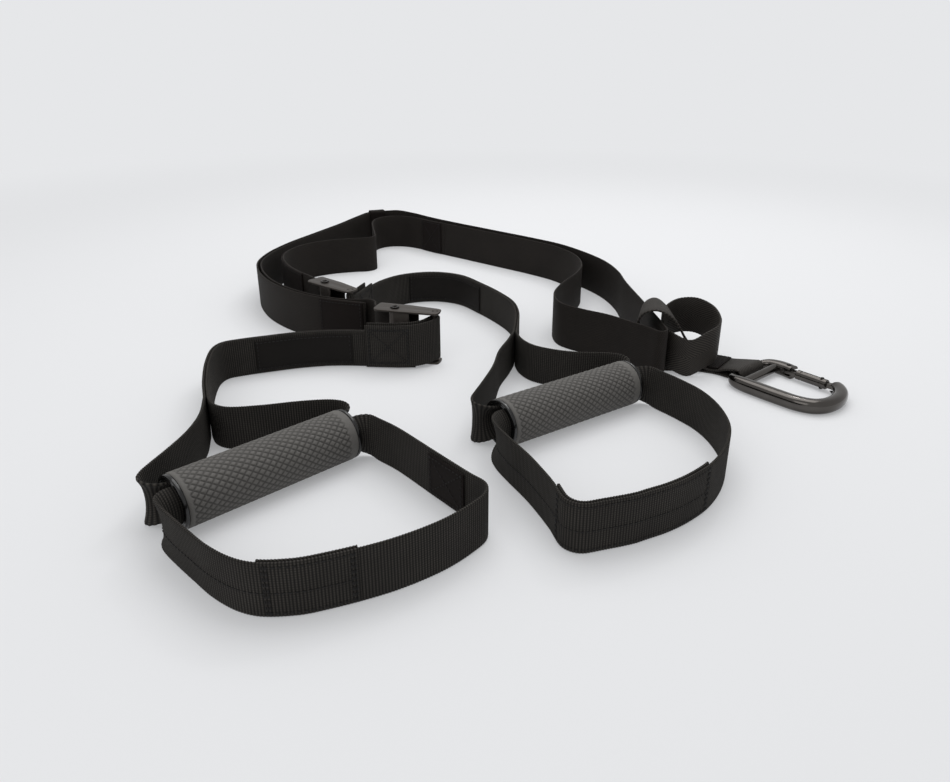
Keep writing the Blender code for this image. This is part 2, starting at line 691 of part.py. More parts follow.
right_route = floor_route(RIGHT_STRAND, MAIN_WIDTH, 3)


def into_jaw(route, buckle, end_share):
    """Carry a strap's route on between the cam's teeth and the base plate."""
    found = [tuple(p) for p in route]
    lift = buckle.height
    for run_share in (-0.04, 0.25, end_share):
        spot = buckle.spot(EAR_LENGTH * run_share, buckle.strap_line)
        found.append((spot.x, spot.y, lift, 0.0))
    return found


upright("main_strap_left", left_route, MAIN_WIDTH, MAIN_THICK, WEBBING)
upright("main_strap_right", right_route, MAIN_WIDTH, MAIN_THICK, WEBBING)
inner_points = []
for x_share, y_share, lift_share in INNER_STRAND:
    inner_points.append((x_share * LAYOUT, y_share * LAYOUT, MAIN_WIDTH / 2.0 + lift_share * LIFT, 0.0))
inner_route = smooth_route(into_jaw(inner_points, BUCKLE_B, 0.62), 3)
upright("main_strap_inner", inner_route, MAIN_WIDTH, MAIN_THICK, WEBBING)

tail_run = list(reversed(shift_route(part_route(left_route, 0.06, 1.0), -TAIL_STEP)))
tail_end = [(-1.23, -0.035, 0.3), (-1.11, -0.055, 0.6), (-1.055, -0.12, 0.8), (-1.045, -0.20, 1.0)]
tail_points = []
for x_share, y_share, lift_share in tail_end:
    tail_points.append((x_share * LAYOUT, y_share * LAYOUT, MAIN_WIDTH / 2.0 + lift_share * LIFT, 0.0))
tail_route = tail_run + smooth_route([tuple(tail_run[-1])] + into_jaw(tail_points, BUCKLE_A, 0.62), 3)[1:]
upright("adjust_strap_a", tail_route, MAIN_WIDTH, MAIN_THICK, WEBBING)

PATCH_WIDTH = MAIN_WIDTH * 0.98
sewn_on("strap_sleeve_a", left_route, 0.005, 0.095, 1.0, PATCH_WIDTH, PATCH_THICK, MAIN_THICK, SEWN)
sewn_on("strap_patch_b", inner_route, 0.012, 0.080, 1.0, PATCH_WIDTH, PATCH_THICK, MAIN_THICK, SEWN)
sewn_on("strap_sleeve_b", inner_route, 0.66, 0.86, -1.0, PATCH_WIDTH, PATCH_THICK, MAIN_THICK, SEWN)


def keeper():
    """Band sewn round the two strands at the far side."""
    stretch = part_route(left_route, 0.985, 1.0)
    end = left_route[-1].xyz
    along = (left_route[-1] - stretch[0]).xyz
    along.z = 0.0
    along.normalize()
    heading = math.atan2(along.y, along.x)
    side = Vector((-along.y, along.x, 0.0))
    wall = PATCH_THICK
    depth = TAIL_STEP + MAIN_THICK * 4.4
    height = MAIN_WIDTH + LAY_GAP * 2.0
    length = MAIN_WIDTH * 0.48
    band = box("strap_keeper_a", (length, depth + wall * 2.0, height + wall * 2.0), SEWN)
    hole = box("keeper_cut", (length * 2.0, depth, height), SEWN)
    middle = end - side * (TAIL_STEP / 2.0) - along * (length / 2.0)
    for obj in (band, hole):
        obj.location = middle
        obj.rotation_euler = (0.0, 0.0, heading)
    join(band, hole, "DIFFERENCE")


keeper()


class Carabiner:
    """Carabiner lying flat: local x runs from its captive end bar to its nose, local y to its gate side."""

    def __init__(self, x_share, y_share, heading):
        self.origin = Vector((x_share * LAYOUT, y_share * LAYOUT, ROD_RADIUS))
        self.heading = heading
        self.along = Vector((math.cos(heading), math.sin(heading), 0.0))
        self.left = Vector((-self.along.y, self.along.x, 0.0))
        self.hinge = (2.20 * CARABINER_UNIT, 2.30 * CARABINER_UNIT)
        self.gate_turn = math.radians(-4.4)

    def place(self, obj, x, y, z=0.0, turn=0.0):
        """Put a piece at a local point."""
        obj.location = self.origin + self.along * x + self.left * y + Vector((0.0, 0.0, z))
        obj.rotation_euler = (0.0, 0.0, self.heading + turn)

    def build(self):
        """Make the body, gate and pins."""
        thin = END_BAR_RADIUS / ROD_RADIUS
        spine = [
            (2.60, 2.32, 0.0, 1.0), (1.90, 2.46, 0.0, 1.0), (1.10, 2.50, 0.0, 0.95), (0.45, 2.40, 0.0, 0.80),
            (0.08, 2.08, 0.0, thin * 1.15), (0.0, 1.75, 0.0, thin), (0.0, 0.0, 0.0, thin), (0.0, -1.75, 0.0, thin),
            (0.08, -2.12, 0.0, thin * 1.15), (0.45, -2.48, 0.0, 0.80), (1.20, -2.66, 0.0, 0.95),
            (2.60, -2.74, 0.0, 1.0), (4.40, -2.80, 0.0, 1.0), (5.80, -2.76, 0.0, 1.0), (6.75, -2.40, 0.0, 1.0),
            (7.28, -1.70, 0.0, 1.0), (7.46, -0.80, 0.0, 1.0), (7.38, 0.20, 0.0, 1.0), (7.05, 1.10, 0.0, 1.0),
            (6.60, 1.72, 0.0, 0.95), (6.25, 2.02, 0.0, 0.90),
        ]
        rod = bpy.data.curves.new("carabiner_rod", "CURVE")
        rod.dimensions = "3D"
        rod.bevel_depth = ROD_RADIUS
        rod.bevel_resolution = 2
        rod.use_fill_caps = True
        line = rod.splines.new("POLY")
        stations = smooth_route(spine, 3)
        line.points.add(len(stations) - 1)
        for point, here in zip(line.points, stations):
            point.co = (here.x * CARABINER_UNIT, here.y * CARABINER_UNIT, 0.0, 1.0)
            point.radius = here.w
        drawn = bpy.data.objects.new("carabiner_rod", rod)
        COLLECTION.objects.link(drawn)
        bpy.context.view_layer.update()
        data = bpy.data.meshes.new_from_object(drawn)
        bpy.data.objects.remove(drawn, do_unlink=True)
        build = bmesh.new()
        build.from_mesh(data)
        bmesh.ops.remove_doubles(build, verts=build.verts, dist=0.00001)
        body = from_bmesh("carabiner_body", build, GUNMETAL)
        self.place(body, 0.0, 0.0)

        span = 5.10 * CARABINER_UNIT
        cross = cylinder("carabiner_cross", CROSS_RADIUS, span, GUNMETAL, 16)
        self.place(cross, 1.15 * CARABINER_UNIT, -0.08 * CARABINER_UNIT)
        cross.rotation_euler = (math.pi / 2.0, 0.0, self.heading)
        join(body, cross)

        slot_height = TONGUE_THICK + TONGUE_GAP * 2.0
        hinge_slot = box("hinge_slot", (CARABINER_UNIT * 1.4, CARABINER_UNIT * 1.6, slot_height), GUNMETAL)
        self.place(hinge_slot, 2.40 * CARABINER_UNIT, 2.30 * CARABINER_UNIT)
        join(body, hinge_slot, "DIFFERENCE")
        nose_slot = box("nose_slot", (CARABINER_UNIT * 1.0, CARABINER_UNIT * 2.4, slot_height), GUNMETAL)
        self.place(nose_slot, 6.02 * CARABINER_UNIT, 1.90 * CARABINER_UNIT)
        join(body, nose_slot, "DIFFERENCE")
        pin_hole = cylinder("hinge_hole", HINGE_RADIUS + PIN_GAP, ROD_RADIUS * 3.0, GUNMETAL, 16)
        self.place(pin_hole, *self.hinge)
        join(body, pin_hole, "DIFFERENCE")

        start = 0.80 * CARABINER_UNIT
        stop = 3.36 * CARABINER_UNIT
        gate = cylinder("carabiner_gate", GATE_RADIUS, stop - start, GUNMETAL, 20)
        gate.data.transform(turn_to_x((start + stop) / 2.0))
        self.place(gate, *self.hinge, 0.0, self.gate_turn)
        tongue = box("gate_tongue", (CARABINER_UNIT * 1.2, CARABINER_UNIT * 0.56, TONGUE_THICK), GUNMETAL)
        tongue.data.transform(slide_x(CARABINER_UNIT * 0.35))
        self.place(tongue, *self.hinge, 0.0, self.gate_turn)
        join(gate, tongue)
        tip = box("gate_tip", (CARABINER_UNIT * 0.9, CARABINER_UNIT * 0.40, TONGUE_THICK), GUNMETAL)
        tip.data.transform(slide_x(CARABINER_UNIT * 3.65))
        self.place(tip, *self.hinge, 0.0, self.gate_turn)
        join(gate, tip)
        bored = cylinder("gate_hole", HINGE_RADIUS + PIN_GAP, ROD_RADIUS * 3.0, GUNMETAL, 16)
        self.place(bored, *self.hinge)
        join(gate, bored, "DIFFERENCE")
        nose_run = 2.90 * CARABINER_UNIT
        nose_x = self.hinge[0] + nose_run * math.cos(self.gate_turn)
        nose_y = self.hinge[1] + nose_run * math.sin(self.gate_turn)
        drilled = cylinder("nose_hole", HINGE_RADIUS + PIN_GAP, ROD_RADIUS * 3.0, GUNMETAL, 16)
        self.place(drilled, nose_x, nose_y)
        join(gate, drilled, "DIFFERENCE")

        pin_top = ROD_RADIUS + HINGE_RADIUS * 0.5
        pin_low = ROD_RADIUS - LAY_GAP
        pin = cylinder("gate_hinge_pin", HINGE_RADIUS, pin_top + pin_low, BRIGHT, 16)
        self.place(pin, *self.hinge, (pin_top - pin_low) / 2.0)
        stud = cylinder("gate_nose_pin", HINGE_RADIUS, GATE_RADIUS * 2.0 + HINGE_RADIUS, BRIGHT, 16)
        self.place(stud, nose_x, nose_y)


def turn_to_x(offset):
    """Matrix that lays a Z cylinder along X, centred at an offset."""
    return Matrix.Translation((offset, 0.0, 0.0)) @ Matrix.Rotation(math.pi / 2.0, 4, "Y")


def slide_x(offset):
    """Matrix that moves along X."""
    return Matrix.Translation((offset, 0.0, 0.0))


CARABINER = Carabiner(1.86, -0.78, math.radians(-49.2))
CARABINER.build()


def lying(name, stations, width, thick, look, closed=False):
    """Webbing lying on its face; each station is a point and the direction across the webbing."""
    rows = []
    for spot, across in stations:
        rows.append([spot - across * (width / 2.0), spot + across * (width / 2.0)])
    return strip(name, rows, thick, look, closed)


# Anchor tape: plan places from the captive bar to the far side of the arch
ANCHOR_LINE = [
    (1.86, -0.78), (1.805, -0.71), (1.73, -0.63), (1.62, -0.57), (1.50, -0.53), (1.38, -0.52), (1.27, -0.52),
    (1.17, -0.51), (1.09, -0.49), (1.055, -0.48),
]
FOLD_RADIUS = END_BAR_RADIUS + LAY_GAP + TAPE_THICK / 2.0
FLOOR_LAYER = TAPE_THICK / 2.0 + LAY_GAP
UPPER_LAYER = FLOOR_LAYER + TAPE_THICK + LAY_GAP * 3.0
ARCH_HEIGHT = MAIN_WIDTH * 1.30


def anchor_tape():
    """Tape folded round the captive bar, sewn, and arched over the main webbing."""
    across = []
    spots = []
    for i, (x_share, y_share) in enumerate(ANCHOR_LINE):
        before = ANCHOR_LINE[max(i - 1, 0)]
        after = ANCHOR_LINE[min(i + 1, len(ANCHOR_LINE) - 1)]
        along = Vector((after[0] - before[0], after[1] - before[1], 0.0)).normalized()
        if i == 0:
            along = CARABINER.along * -1.0
        across.append(Vector((-along.y, along.x, 0.0)))
        spots.append(Vector((x_share * LAYOUT, y_share * LAYOUT, 0.0)))
    heights = [
        (0, ROD_RADIUS + FOLD_RADIUS), (1, ROD_RADIUS + FOLD_RADIUS * 0.4), (2, UPPER_LAYER), (3, UPPER_LAYER),
        (4, ARCH_HEIGHT * 0.20), (5, ARCH_HEIGHT * 0.60), (6, ARCH_HEIGHT * 0.90), (7, ARCH_HEIGHT),
        (8, ARCH_HEIGHT * 0.92), (9, ARCH_HEIGHT * 0.70), (9, ARCH_HEIGHT * 0.30), (8, FLOOR_LAYER + MAIN_THICK),
        (7, FLOOR_LAYER), (6, FLOOR_LAYER), (5, FLOOR_LAYER), (4, FLOOR_LAYER), (3, FLOOR_LAYER),
        (2, FLOOR_LAYER), (1, FLOOR_LAYER + LAY_GAP),
        (0, ROD_RADIUS - FOLD_RADIUS),
    ]
    knots = []
    for index, height in heights:
        spot = spots[index]
        knots.append((spot.x, spot.y, height, math.atan2(across[index].y, across[index].x)))
    stations = []
    for here in smooth_route(knots, 2):
        stations.append((here.xyz, Vector((math.cos(here.w), math.sin(here.w), 0.0))))
    for degrees in (-60.0, -30.0, 0.0, 30.0, 60.0):
        turn = math.radians(degrees)
        spot = CARABINER.origin + CARABINER.along * (FOLD_RADIUS * math.cos(turn))
        spot.z += FOLD_RADIUS * math.sin(turn)
        stations.append((spot, across[0]))
    lying("anchor_strap", stations, TAPE_WIDTH, TAPE_THICK, TWILL, True)
    tack = []
    for share in (0.0, 0.5, 1.0):
        spot = spots[2].lerp(spots[3], share)
        spot.z = UPPER_LAYER + TAPE_THICK / 2.0 + LAY_GAP + PATCH_THICK / 2.0
        tack.append((spot, across[2].lerp(across[3], share).normalized()))
    lying("anchor_tack", tack, TAPE_WIDTH * 0.9, PATCH_THICK, SEWN)


anchor_tape()

RING_ROUTE = [
    (1.40, -0.775, 0.0), (1.53, -0.735, 2.0), (1.64, -0.65, 3.2), (1.69, -0.50, 4.0), (1.67, -0.32, 5.5),
    (1.57, -0.21, 6.5), (1.43, -0.19, 6.0), (1.31, -0.28, 4.5), (1.255, -0.42, 3.0), (1.245, -0.57, 1.6),
    (1.275, -0.705, 1.5),
]


def anchor_ring():
    """Loose ring of webbing standing on its edge round the anchor tape."""
    count = len(RING_ROUTE)
    rounds = RING_ROUTE[-2:] + RING_ROUTE + RING_ROUTE[:2]
    points = []
    for x_share, y_share, lift_share in rounds:
        points.append((x_share * LAYOUT, y_share * LAYOUT, WEB_WIDTH / 2.0 + lift_share * LIFT, 0.0))
    smoothed = smooth_route(points, 2)
    stations = smoothed[4:4 + count * 2]
    upright("anchor_ring", stations, WEB_WIDTH, TAPE_THICK, TWILL, 1, True)


anchor_ring()


# Centre of the laid-out outline, as a share of the layout unit
MIDDLE_SHARES = (0.0464, -0.0067)


def centre_part():
    """Move every piece so that the origin is under the middle of the part."""
    step = Vector((MIDDLE_SHARES[0] * LAYOUT, MIDDLE_SHARES[1] * LAYOUT, 0.0))
    for group in (COLLECTION, CUTTERS):
        for obj in group.objects:
            obj.location = obj.location - step


centre_part()
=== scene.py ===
"""Looks of a suspension trainer: black webbing on its edge, two rubber grips, cam buckles and a carabiner.

Everything is in metres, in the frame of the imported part.
"""

import logging
import math
from dataclasses import dataclass, field
from enum import Enum

import bmesh
import bpy
import numpy as np
from mathutils import Matrix, Vector


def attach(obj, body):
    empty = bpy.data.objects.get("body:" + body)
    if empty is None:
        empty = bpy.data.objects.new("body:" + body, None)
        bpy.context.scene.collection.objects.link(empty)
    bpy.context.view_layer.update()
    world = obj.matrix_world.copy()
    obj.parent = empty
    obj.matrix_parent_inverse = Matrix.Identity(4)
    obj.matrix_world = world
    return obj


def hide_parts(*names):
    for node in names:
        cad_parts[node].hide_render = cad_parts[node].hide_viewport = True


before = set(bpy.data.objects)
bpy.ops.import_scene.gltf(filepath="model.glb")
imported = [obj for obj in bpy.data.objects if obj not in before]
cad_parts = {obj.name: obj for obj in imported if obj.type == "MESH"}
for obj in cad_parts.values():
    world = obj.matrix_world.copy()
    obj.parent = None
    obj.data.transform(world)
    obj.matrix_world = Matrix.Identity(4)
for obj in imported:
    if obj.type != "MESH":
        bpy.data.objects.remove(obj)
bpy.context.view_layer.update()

log = logging.getLogger("suspension_trainer")

MM = 0.001
# Length of one share of the layout, and the middle of the part before it was centred
LAYOUT = 0.100
MIDDLE = np.array((0.00464, -0.00067, 0.0))
# Room between pieces that lie on each other, and between lengths that meet end to end
LAY_GAP = 0.3 * MM
BUTT_GAP = 0.6 * MM
# Rise of the long webbing for one share of lift, and its step to the nested tail
LIFT = 2.4 * MM
TAIL_STEP = 3.6 * MM
STRAP_WIDTH = 38.0 * MM
HAND_WIDTH = 30.0 * MM
HAND_THICK = 1.8 * MM
BORE_RADIUS = 12.25 * MM
# Radius of the hand webbing's middle where it lies curled in a grip's bore
CURL_RADIUS = BORE_RADIUS - HAND_THICK / 2.0 - LAY_GAP
MERGE = 0.002 * MM
# Most of a side that one rounded corner takes up
MOST_EASED = 0.45
# Turn over a band's whole width, in radians, below which it counts as flat
FLAT_CURL = 0.02
UP = np.array((0.0, 0.0, 1.0))
WEAVE_MAP = "weave"
KNURL_MAP = "knurl"

Rows = np.ndarray
Place = tuple[float, float, float]
Mesh = bpy.types.Mesh
Object = bpy.types.Object
Tree = bpy.types.NodeTree
Node = bpy.types.Node
Socket = bpy.types.NodeSocket
Sockets = bpy.types.NodeOutputs


def linear(code: str) -> tuple[float, float, float, float]:
    """Turn an sRGB hex colour into the linear values that a shader takes.

    Args:
        code: Colour as "#rrggbb".

    Returns:
        Linear red, green, blue and a full alpha.
    """
    shares = [int(code[i:i + 2], 16) / 255.0 for i in (1, 3, 5)]
    values = [s / 12.92 if s <= 0.04045 else ((s + 0.055) / 1.055) ** 2.4 for s in shares]
    return (*values, 1.0)


def feed(node: Node, inputs: dict) -> None:
    """Give a node its values and links.

    Args:
        node: The node.
        inputs: Input socket, by name or number, to a value, to the output socket that feeds it, or to
            the node whose first output feeds it.
    """
    for key, value in inputs.items():
        if isinstance(value, Node):
            value = value.outputs[0]
        if isinstance(value, Socket):
            node.id_data.links.new(value, node.inputs[key])
        else:
            node.inputs[key].default_value = value


def add_node(tree: Tree, kind: str, inputs: dict, **settings: object) -> Node:
    """Add one node with its settings, values and links.

    Args:
        tree: Tree that gets the node.
        kind: Blender's type name of the node.
        inputs: Its values and links, as feed takes them.
        settings: The node's own properties.

    Returns:
        The new node.
    """
    made = tree.nodes.new(kind)
    for name, value in settings.items():
        setattr(made, name, value)
    feed(made, inputs)
    return made


MATH = "ShaderNodeMath"
RANGE = "ShaderNodeMapRange"
MIX = "ShaderNodeMix"
NOISE = "ShaderNodeTexNoise"
BUMP = "ShaderNodeBump"
# The Mix node names its float and colour sockets alike, so these are the colour ones
MIX_A = 6
MIX_B = 7
MIX_COLOUR = 2


def blank_material(name: str) -> tuple[bpy.types.Material, Tree, Node]:
    """Make an empty material.

    Args:
        name: Name of the material.

    Returns:
        The material, its tree and its Principled shader.
    """
    made = bpy.data.materials.new(name)
    made.use_nodes = True
    return made, made.node_tree, made.node_tree.nodes["Principled BSDF"]


class Weave(Enum):
    """How the threads of a band cross."""

    RIBBED = "ribbed"
    TWILL = "twill"
    PLAIN = "plain"


@dataclass(frozen=True)
class WovenBand:
    """Black woven band: matt yarn, with painted highlight on the crests of the weave and painted shade in its
    valleys.
    """

    name: str
    # Colours of the crests and of the valleys: the weave's height mixes them, painting highlight on the
    # crests and shade in the valleys
    lit_crest: str
    shaded_valley: str
    weave: Weave
    rib: float
    yarn: float
    relief: float
    roughness: float
    sheen: float
    slot: str
    # Yarns before the herringbone turns back, and the share of height left between two yarns
    turn_back: float = 8.0
    between: float = 0.2
    # Dye and handling marks, 25 mm across, and loose fibre, 0.6 mm across, as counts in a metre
    marks: float = 40.0
    fibres: float = 1600.0
    mark_share: float = 0.8
    least_share: float = 0.4
    fuzz_share: float = 0.2
    fuzz_relief: float = 0.3
    sheen_tint: str = "#6b6560"

    def height(self, tree: Tree, along: Socket, across: Socket) -> Node:
        """Height of the weave from 0 to 1.

        Args:
            tree: Tree of the material.
            along: Output socket with the run along the band, in metres.
            across: Output socket with the place across the band, in metres.

        Returns:
            Node of the height.
        """
        run = add_node(tree, MATH, {0: along, 1: self.rib}, operation="DIVIDE")
        lane = add_node(tree, MATH, {0: across, 1: self.yarn}, operation="DIVIDE")
        phase = run
        if self.weave is Weave.TWILL:
            # Herringbone: the diagonal turns back
            fold = add_node(tree, MATH, {0: lane, 1: self.turn_back}, operation="PINGPONG")
            phase = add_node(tree, MATH, {0: run, 1: fold}, operation="ADD")
        elif self.weave is Weave.PLAIN:
            # Plain weave: every other yarn is half a step on
            column = add_node(tree, MATH, {0: lane}, operation="FLOOR")
            step = add_node(tree, MATH, {0: column, 1: 2.0}, operation="FLOORED_MODULO")
            half = add_node(tree, MATH, {0: step, 1: 0.5}, operation="MULTIPLY")
            phase = add_node(tree, MATH, {0: run, 1: half}, operation="ADD")
        turn = add_node(tree, MATH, {0: phase, 1: math.tau}, operation="MULTIPLY")
        wave = add_node(tree, MATH, {0: turn}, operation="COSINE")
        lit_crest = add_node(tree, MATH, {0: wave, 1: 0.5, 2: 0.5}, operation="MULTIPLY_ADD")
        if self.weave is Weave.TWILL:
            return lit_crest
        spin = add_node(tree, MATH, {0: lane, 1: math.pi}, operation="MULTIPLY")
        swell = add_node(tree, MATH, {0: spin}, operation="SINE")
        body = add_node(tree, MATH, {0: swell}, operation="ABSOLUTE")
        full = add_node(
            tree, MATH, {0: body, 1: 1.0 - self.between, 2: self.between}, operation="MULTIPLY_ADD"
        )
        return add_node(tree, MATH, {0: lit_crest, 1: full}, operation="MULTIPLY")

    def material(self) -> bpy.types.Material:
        """Build the cloth's material from its own run and width.

        Returns:
            The material.
        """
        made, tree, shader = blank_material(self.name)
        flat = add_node(tree, "ShaderNodeUVMap", {}, uv_map=WEAVE_MAP)
        parts = add_node(tree, "ShaderNodeSeparateXYZ", {0: flat})
        height = self.height(tree, parts.outputs[0], parts.outputs[1])
        place = add_node(tree, "ShaderNodeTexCoord", {}).outputs["Object"]
        cloud = add_node(tree, NOISE, {"Vector": place, "Scale": self.marks, "Detail": 3.0})
        fuzz = add_node(tree, NOISE, {"Vector": place, "Scale": self.fibres, "Detail": 2.0})
        worn = add_node(
            tree, MATH, {0: cloud, 1: self.mark_share, 2: self.least_share}, operation="MULTIPLY_ADD"
        )
        lit = add_node(tree, MATH, {0: height, 1: worn}, operation="MULTIPLY")
        grain = add_node(tree, MATH, {0: fuzz, 1: self.fuzz_share, 2: lit}, operation="MULTIPLY_ADD")
        # Painted highlight on the weave's crests and painted shade in its valleys
        shades = {0: grain, MIX_A: linear(self.shaded_valley), MIX_B: linear(self.lit_crest)}
        tint = add_node(tree, MIX, shades, data_type="RGBA")
        soft = add_node(tree, MATH, {0: fuzz, 1: self.fuzz_relief, 2: height}, operation="MULTIPLY_ADD")
        bump = add_node(tree, BUMP, {"Height": soft, "Distance": self.relief, "Strength": 0.9})
        feed(shader, {
            "Base Color": tint.outputs[MIX_COLOUR], "Normal": bump, "Roughness": self.roughness,
            "Sheen Weight": self.sheen, "Sheen Roughness": 0.45, "Sheen Tint": linear(self.sheen_tint),
            "Specular IOR Level": 0.2,
        })
        return made


@dataclass(frozen=True)
class FoamRubber:
    """Moulded TPR foam: dull grey skin with a fine pebble, darkened in the grooves of the knurl by dust and
    painted shade.
    """

    name: str = "moulded_tpr_rubber"
    skin: str = "#605e5b"
    # Colour of the grooves: dust and painted shade
    groove: str = "#42403e"
    roughness: float = 0.62
    spread: float = 0.15
    slot: str = "grip_rubber"
    # Handling marks, 17 mm across, and the skin's pebble, 0.7 mm across, as counts in a metre
    marks: float = 60.0
    pebbles: float = 1400.0
    mark_share: float = 0.5
    least_share: float = 0.72
    pebble_relief: float = 0.08 * MM

    def material(self) -> bpy.types.Material:
        """Build the rubber's material; the knurl's height is an attribute of the sleeve.

        Returns:
            The material.
        """
        made, tree, shader = blank_material(self.name)
        place = add_node(tree, "ShaderNodeTexCoord", {}).outputs["Object"]
        knurl = add_node(tree, "ShaderNodeAttribute", {}, attribute_name=KNURL_MAP)
        cloud = add_node(tree, NOISE, {"Vector": place, "Scale": self.marks, "Detail": 4.0})
        pebble = add_node(tree, NOISE, {"Vector": place, "Scale": self.pebbles, "Detail": 3.0})
        shade = add_node(
            tree, MATH, {0: cloud, 1: self.mark_share, 2: self.least_share}, operation="MULTIPLY_ADD"
        )
        # The knurl's height mixes in the groove colour, so the grooves take dust and painted shade
        lit = add_node(tree, MATH, {0: knurl.outputs["Fac"], 1: shade}, operation="MULTIPLY")
        tint = add_node(
            tree, MIX, {0: lit, MIX_A: linear(self.groove), MIX_B: linear(self.skin)}, data_type="RGBA"
        )
        bump = add_node(tree, BUMP, {"Height": pebble, "Distance": self.pebble_relief, "Strength": 0.7})
        rough = add_node(tree, MATH, {0: cloud, 1: self.spread, 2: self.roughness}, operation="MULTIPLY_ADD")
        feed(shader, {
            "Base Color": tint.outputs[MIX_COLOUR], "Normal": bump, "Roughness": rough,
            "Specular IOR Level": 0.4,
        })
        return made


@dataclass(frozen=True)
class HardFinish:
    """Plastic or metal: one colour that clouds slightly, fine grain from its making, and rubbed roughness."""

    name: str
    colour: str
    rubbed: str
    metallic: float
    roughness: float
    spread: float
    grain: float
    relief: float
    slot: str
    # Rubbed and clouded places, 11 mm across, as a count in a metre
    marks: float = 90.0

    def material(self) -> bpy.types.Material:
        """Build the material from noise on the piece's own place.

        Returns:
            The material.
        """
        made, tree, shader = blank_material(self.name)
        place = add_node(tree, "ShaderNodeTexCoord", {}).outputs["Object"]
        cloud = add_node(tree, NOISE, {"Vector": place, "Scale": self.marks, "Detail": 5.0})
        grain = add_node(tree, NOISE, {"Vector": place, "Scale": self.grain, "Detail": 3.0})
        tint = add_node(
            tree, MIX, {0: cloud, MIX_A: linear(self.colour), MIX_B: linear(self.rubbed)}, data_type="RGBA"
        )
        rough = add_node(tree, MATH, {0: cloud, 1: self.spread, 2: self.roughness}, operation="MULTIPLY_ADD")
        bump = add_node(tree, BUMP, {"Height": grain, "Distance": self.relief, "Strength": 0.6})
        feed(shader, {
            "Base Color": tint.outputs[MIX_COLOUR], "Normal": bump, "Roughness": rough,
            "Metallic": self.metallic,
        })
        return made


Finish = WovenBand | FoamRubber | HardFinish

# Ribbed polypropylene webbing of the hand and foot loops: rows of weft ribs that catch the light
RIBBED_WEBBING = WovenBand(
    "ribbed_polypropylene_webbing", lit_crest="#413e3a", shaded_valley="#050404", weave=Weave.RIBBED, rib=1.6 * MM,
    yarn=1.3 * MM, relief=0.24 * MM, roughness=0.85, sheen=0.01, slot="black_webbing",
)
# Flat nylon webbing of the long straps: a tight even face, so smoother and more silky
FLAT_WEBBING = WovenBand(
    "flat_nylon_webbing", lit_crest="#2d2824", shaded_valley="#0b0908", weave=Weave.PLAIN, rib=1.1 * MM,
    yarn=1.4 * MM, relief=0.08 * MM, roughness=0.78, sheen=0.03, slot="black_webbing",
)
# Herringbone nylon tape of the anchor: diagonal threads, drawn coarse enough to show, and the most sheen
TWILL_TAPE = WovenBand(
    "herringbone_nylon_tape", lit_crest="#3d3935", shaded_valley="#0a0908", weave=Weave.TWILL, rib=2.6 * MM,
    yarn=1.9 * MM, relief=0.10 * MM, roughness=0.66, sheen=0.08, slot="twill_webbing",
)
# Polyester facing tape of the sewn patches: flat, dense and brown-black
FACING_TAPE = WovenBand(
    "polyester_facing_tape", lit_crest="#1c1411", shaded_valley="#0a0706", weave=Weave.PLAIN, rib=0.9 * MM,
    yarn=0.9 * MM, relief=0.05 * MM, roughness=0.85, sheen=0.01, slot="sewn_patch",
)
# Satin polyester of the bare label places: closer and darker than the webbing below it
LABEL_SATIN = WovenBand(
    "polyester_satin_label", lit_crest="#17120e", shaded_valley="#070504", weave=Weave.PLAIN, rib=0.7 * MM,
    yarn=0.7 * MM, relief=0.03 * MM, roughness=0.68, sheen=0.01, slot="sewn_patch",
)
# Bonded polyester sewing thread: near black and dull, so that a seam reads as a dark line
THREAD = HardFinish(
    "bonded_polyester_thread", colour="#060505", rubbed="#0f0d0c", metallic=0.0, roughness=0.75,
    spread=0.15, grain=2400.0, relief=0.05 * MM, slot="sewn_patch",
)
RUBBER = FoamRubber()
# Injection-moulded black ABS: smooth with a slight orange peel
GLOSS_ABS = HardFinish(
    "gloss_abs", colour="#0b0b0b", rubbed="#151515", metallic=0.0, roughness=0.12, spread=0.12,
    grain=500.0, relief=0.02 * MM, slot="black_plastic",
)
# Pressed steel with a dark nickel plate: satin, greyer where it is rubbed
DARK_NICKEL = HardFinish(
    "dark_nickel_steel", colour="#423e3b", rubbed="#544f4b", metallic=0.85, roughness=0.38, spread=0.2,
    grain=900.0, relief=0.03 * MM, slot="buckle_steel",
)
# Forged alloy steel under black chrome: smooth, dark, with crisp highlights
BLACK_CHROME = HardFinish(
    "black_chrome", colour="#4a4745", rubbed="#615e5b", metallic=1.0, roughness=0.11, spread=0.10,
    grain=300.0, relief=0.02 * MM, slot="gunmetal",
)
# Blued rivet and pin steel: darker than the plates, brighter where it is rubbed
BLUED_STEEL = HardFinish(
    "blued_pin_steel", colour="#141312", rubbed="#3a3735", metallic=1.0, roughness=0.25, spread=0.15,
    grain=1200.0, relief=0.02 * MM, slot="bright_pin",
)


class Finishes:
    """Materials made once and shared by the pieces."""

    def __init__(self) -> None:
        """Start with none made."""
        self.made: dict[str, bpy.types.Material] = {}

    def of(self, finish: Finish) -> bpy.types.Material:
        """Return the material of a finish, building it at its first use.

        Args:
            finish: The finish.

        Returns:
            Its material.
        """
        if finish.name not in self.made:
            self.made[finish.name] = finish.material()
        return self.made[finish.name]


FINISHES = Finishes()


def finished_piece(name: str, data: Mesh, finish: Finish, body: str, *nodes: str) -> Object:
    """Wrap a mesh in an object of one finish, ride it on its body and let it stand for its CAD nodes.

    Args:
        name: Name of the piece.
        data: Its mesh, in the frame.
        finish: What it is made of.
        body: Body that it moves with.
        nodes: CAD nodes that it stands for.

    Returns:
        The piece.
    """
    data.materials.clear()
    data.materials.append(FINISHES.of(finish))
    made = bpy.data.objects.new(name, data)
    bpy.context.scene.collection.objects.link(made)
    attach(made, body)
    if nodes:
        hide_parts(*nodes)
    log.info("piece %s on %s: %d faces", name, body, len(data.polygons))
    return made


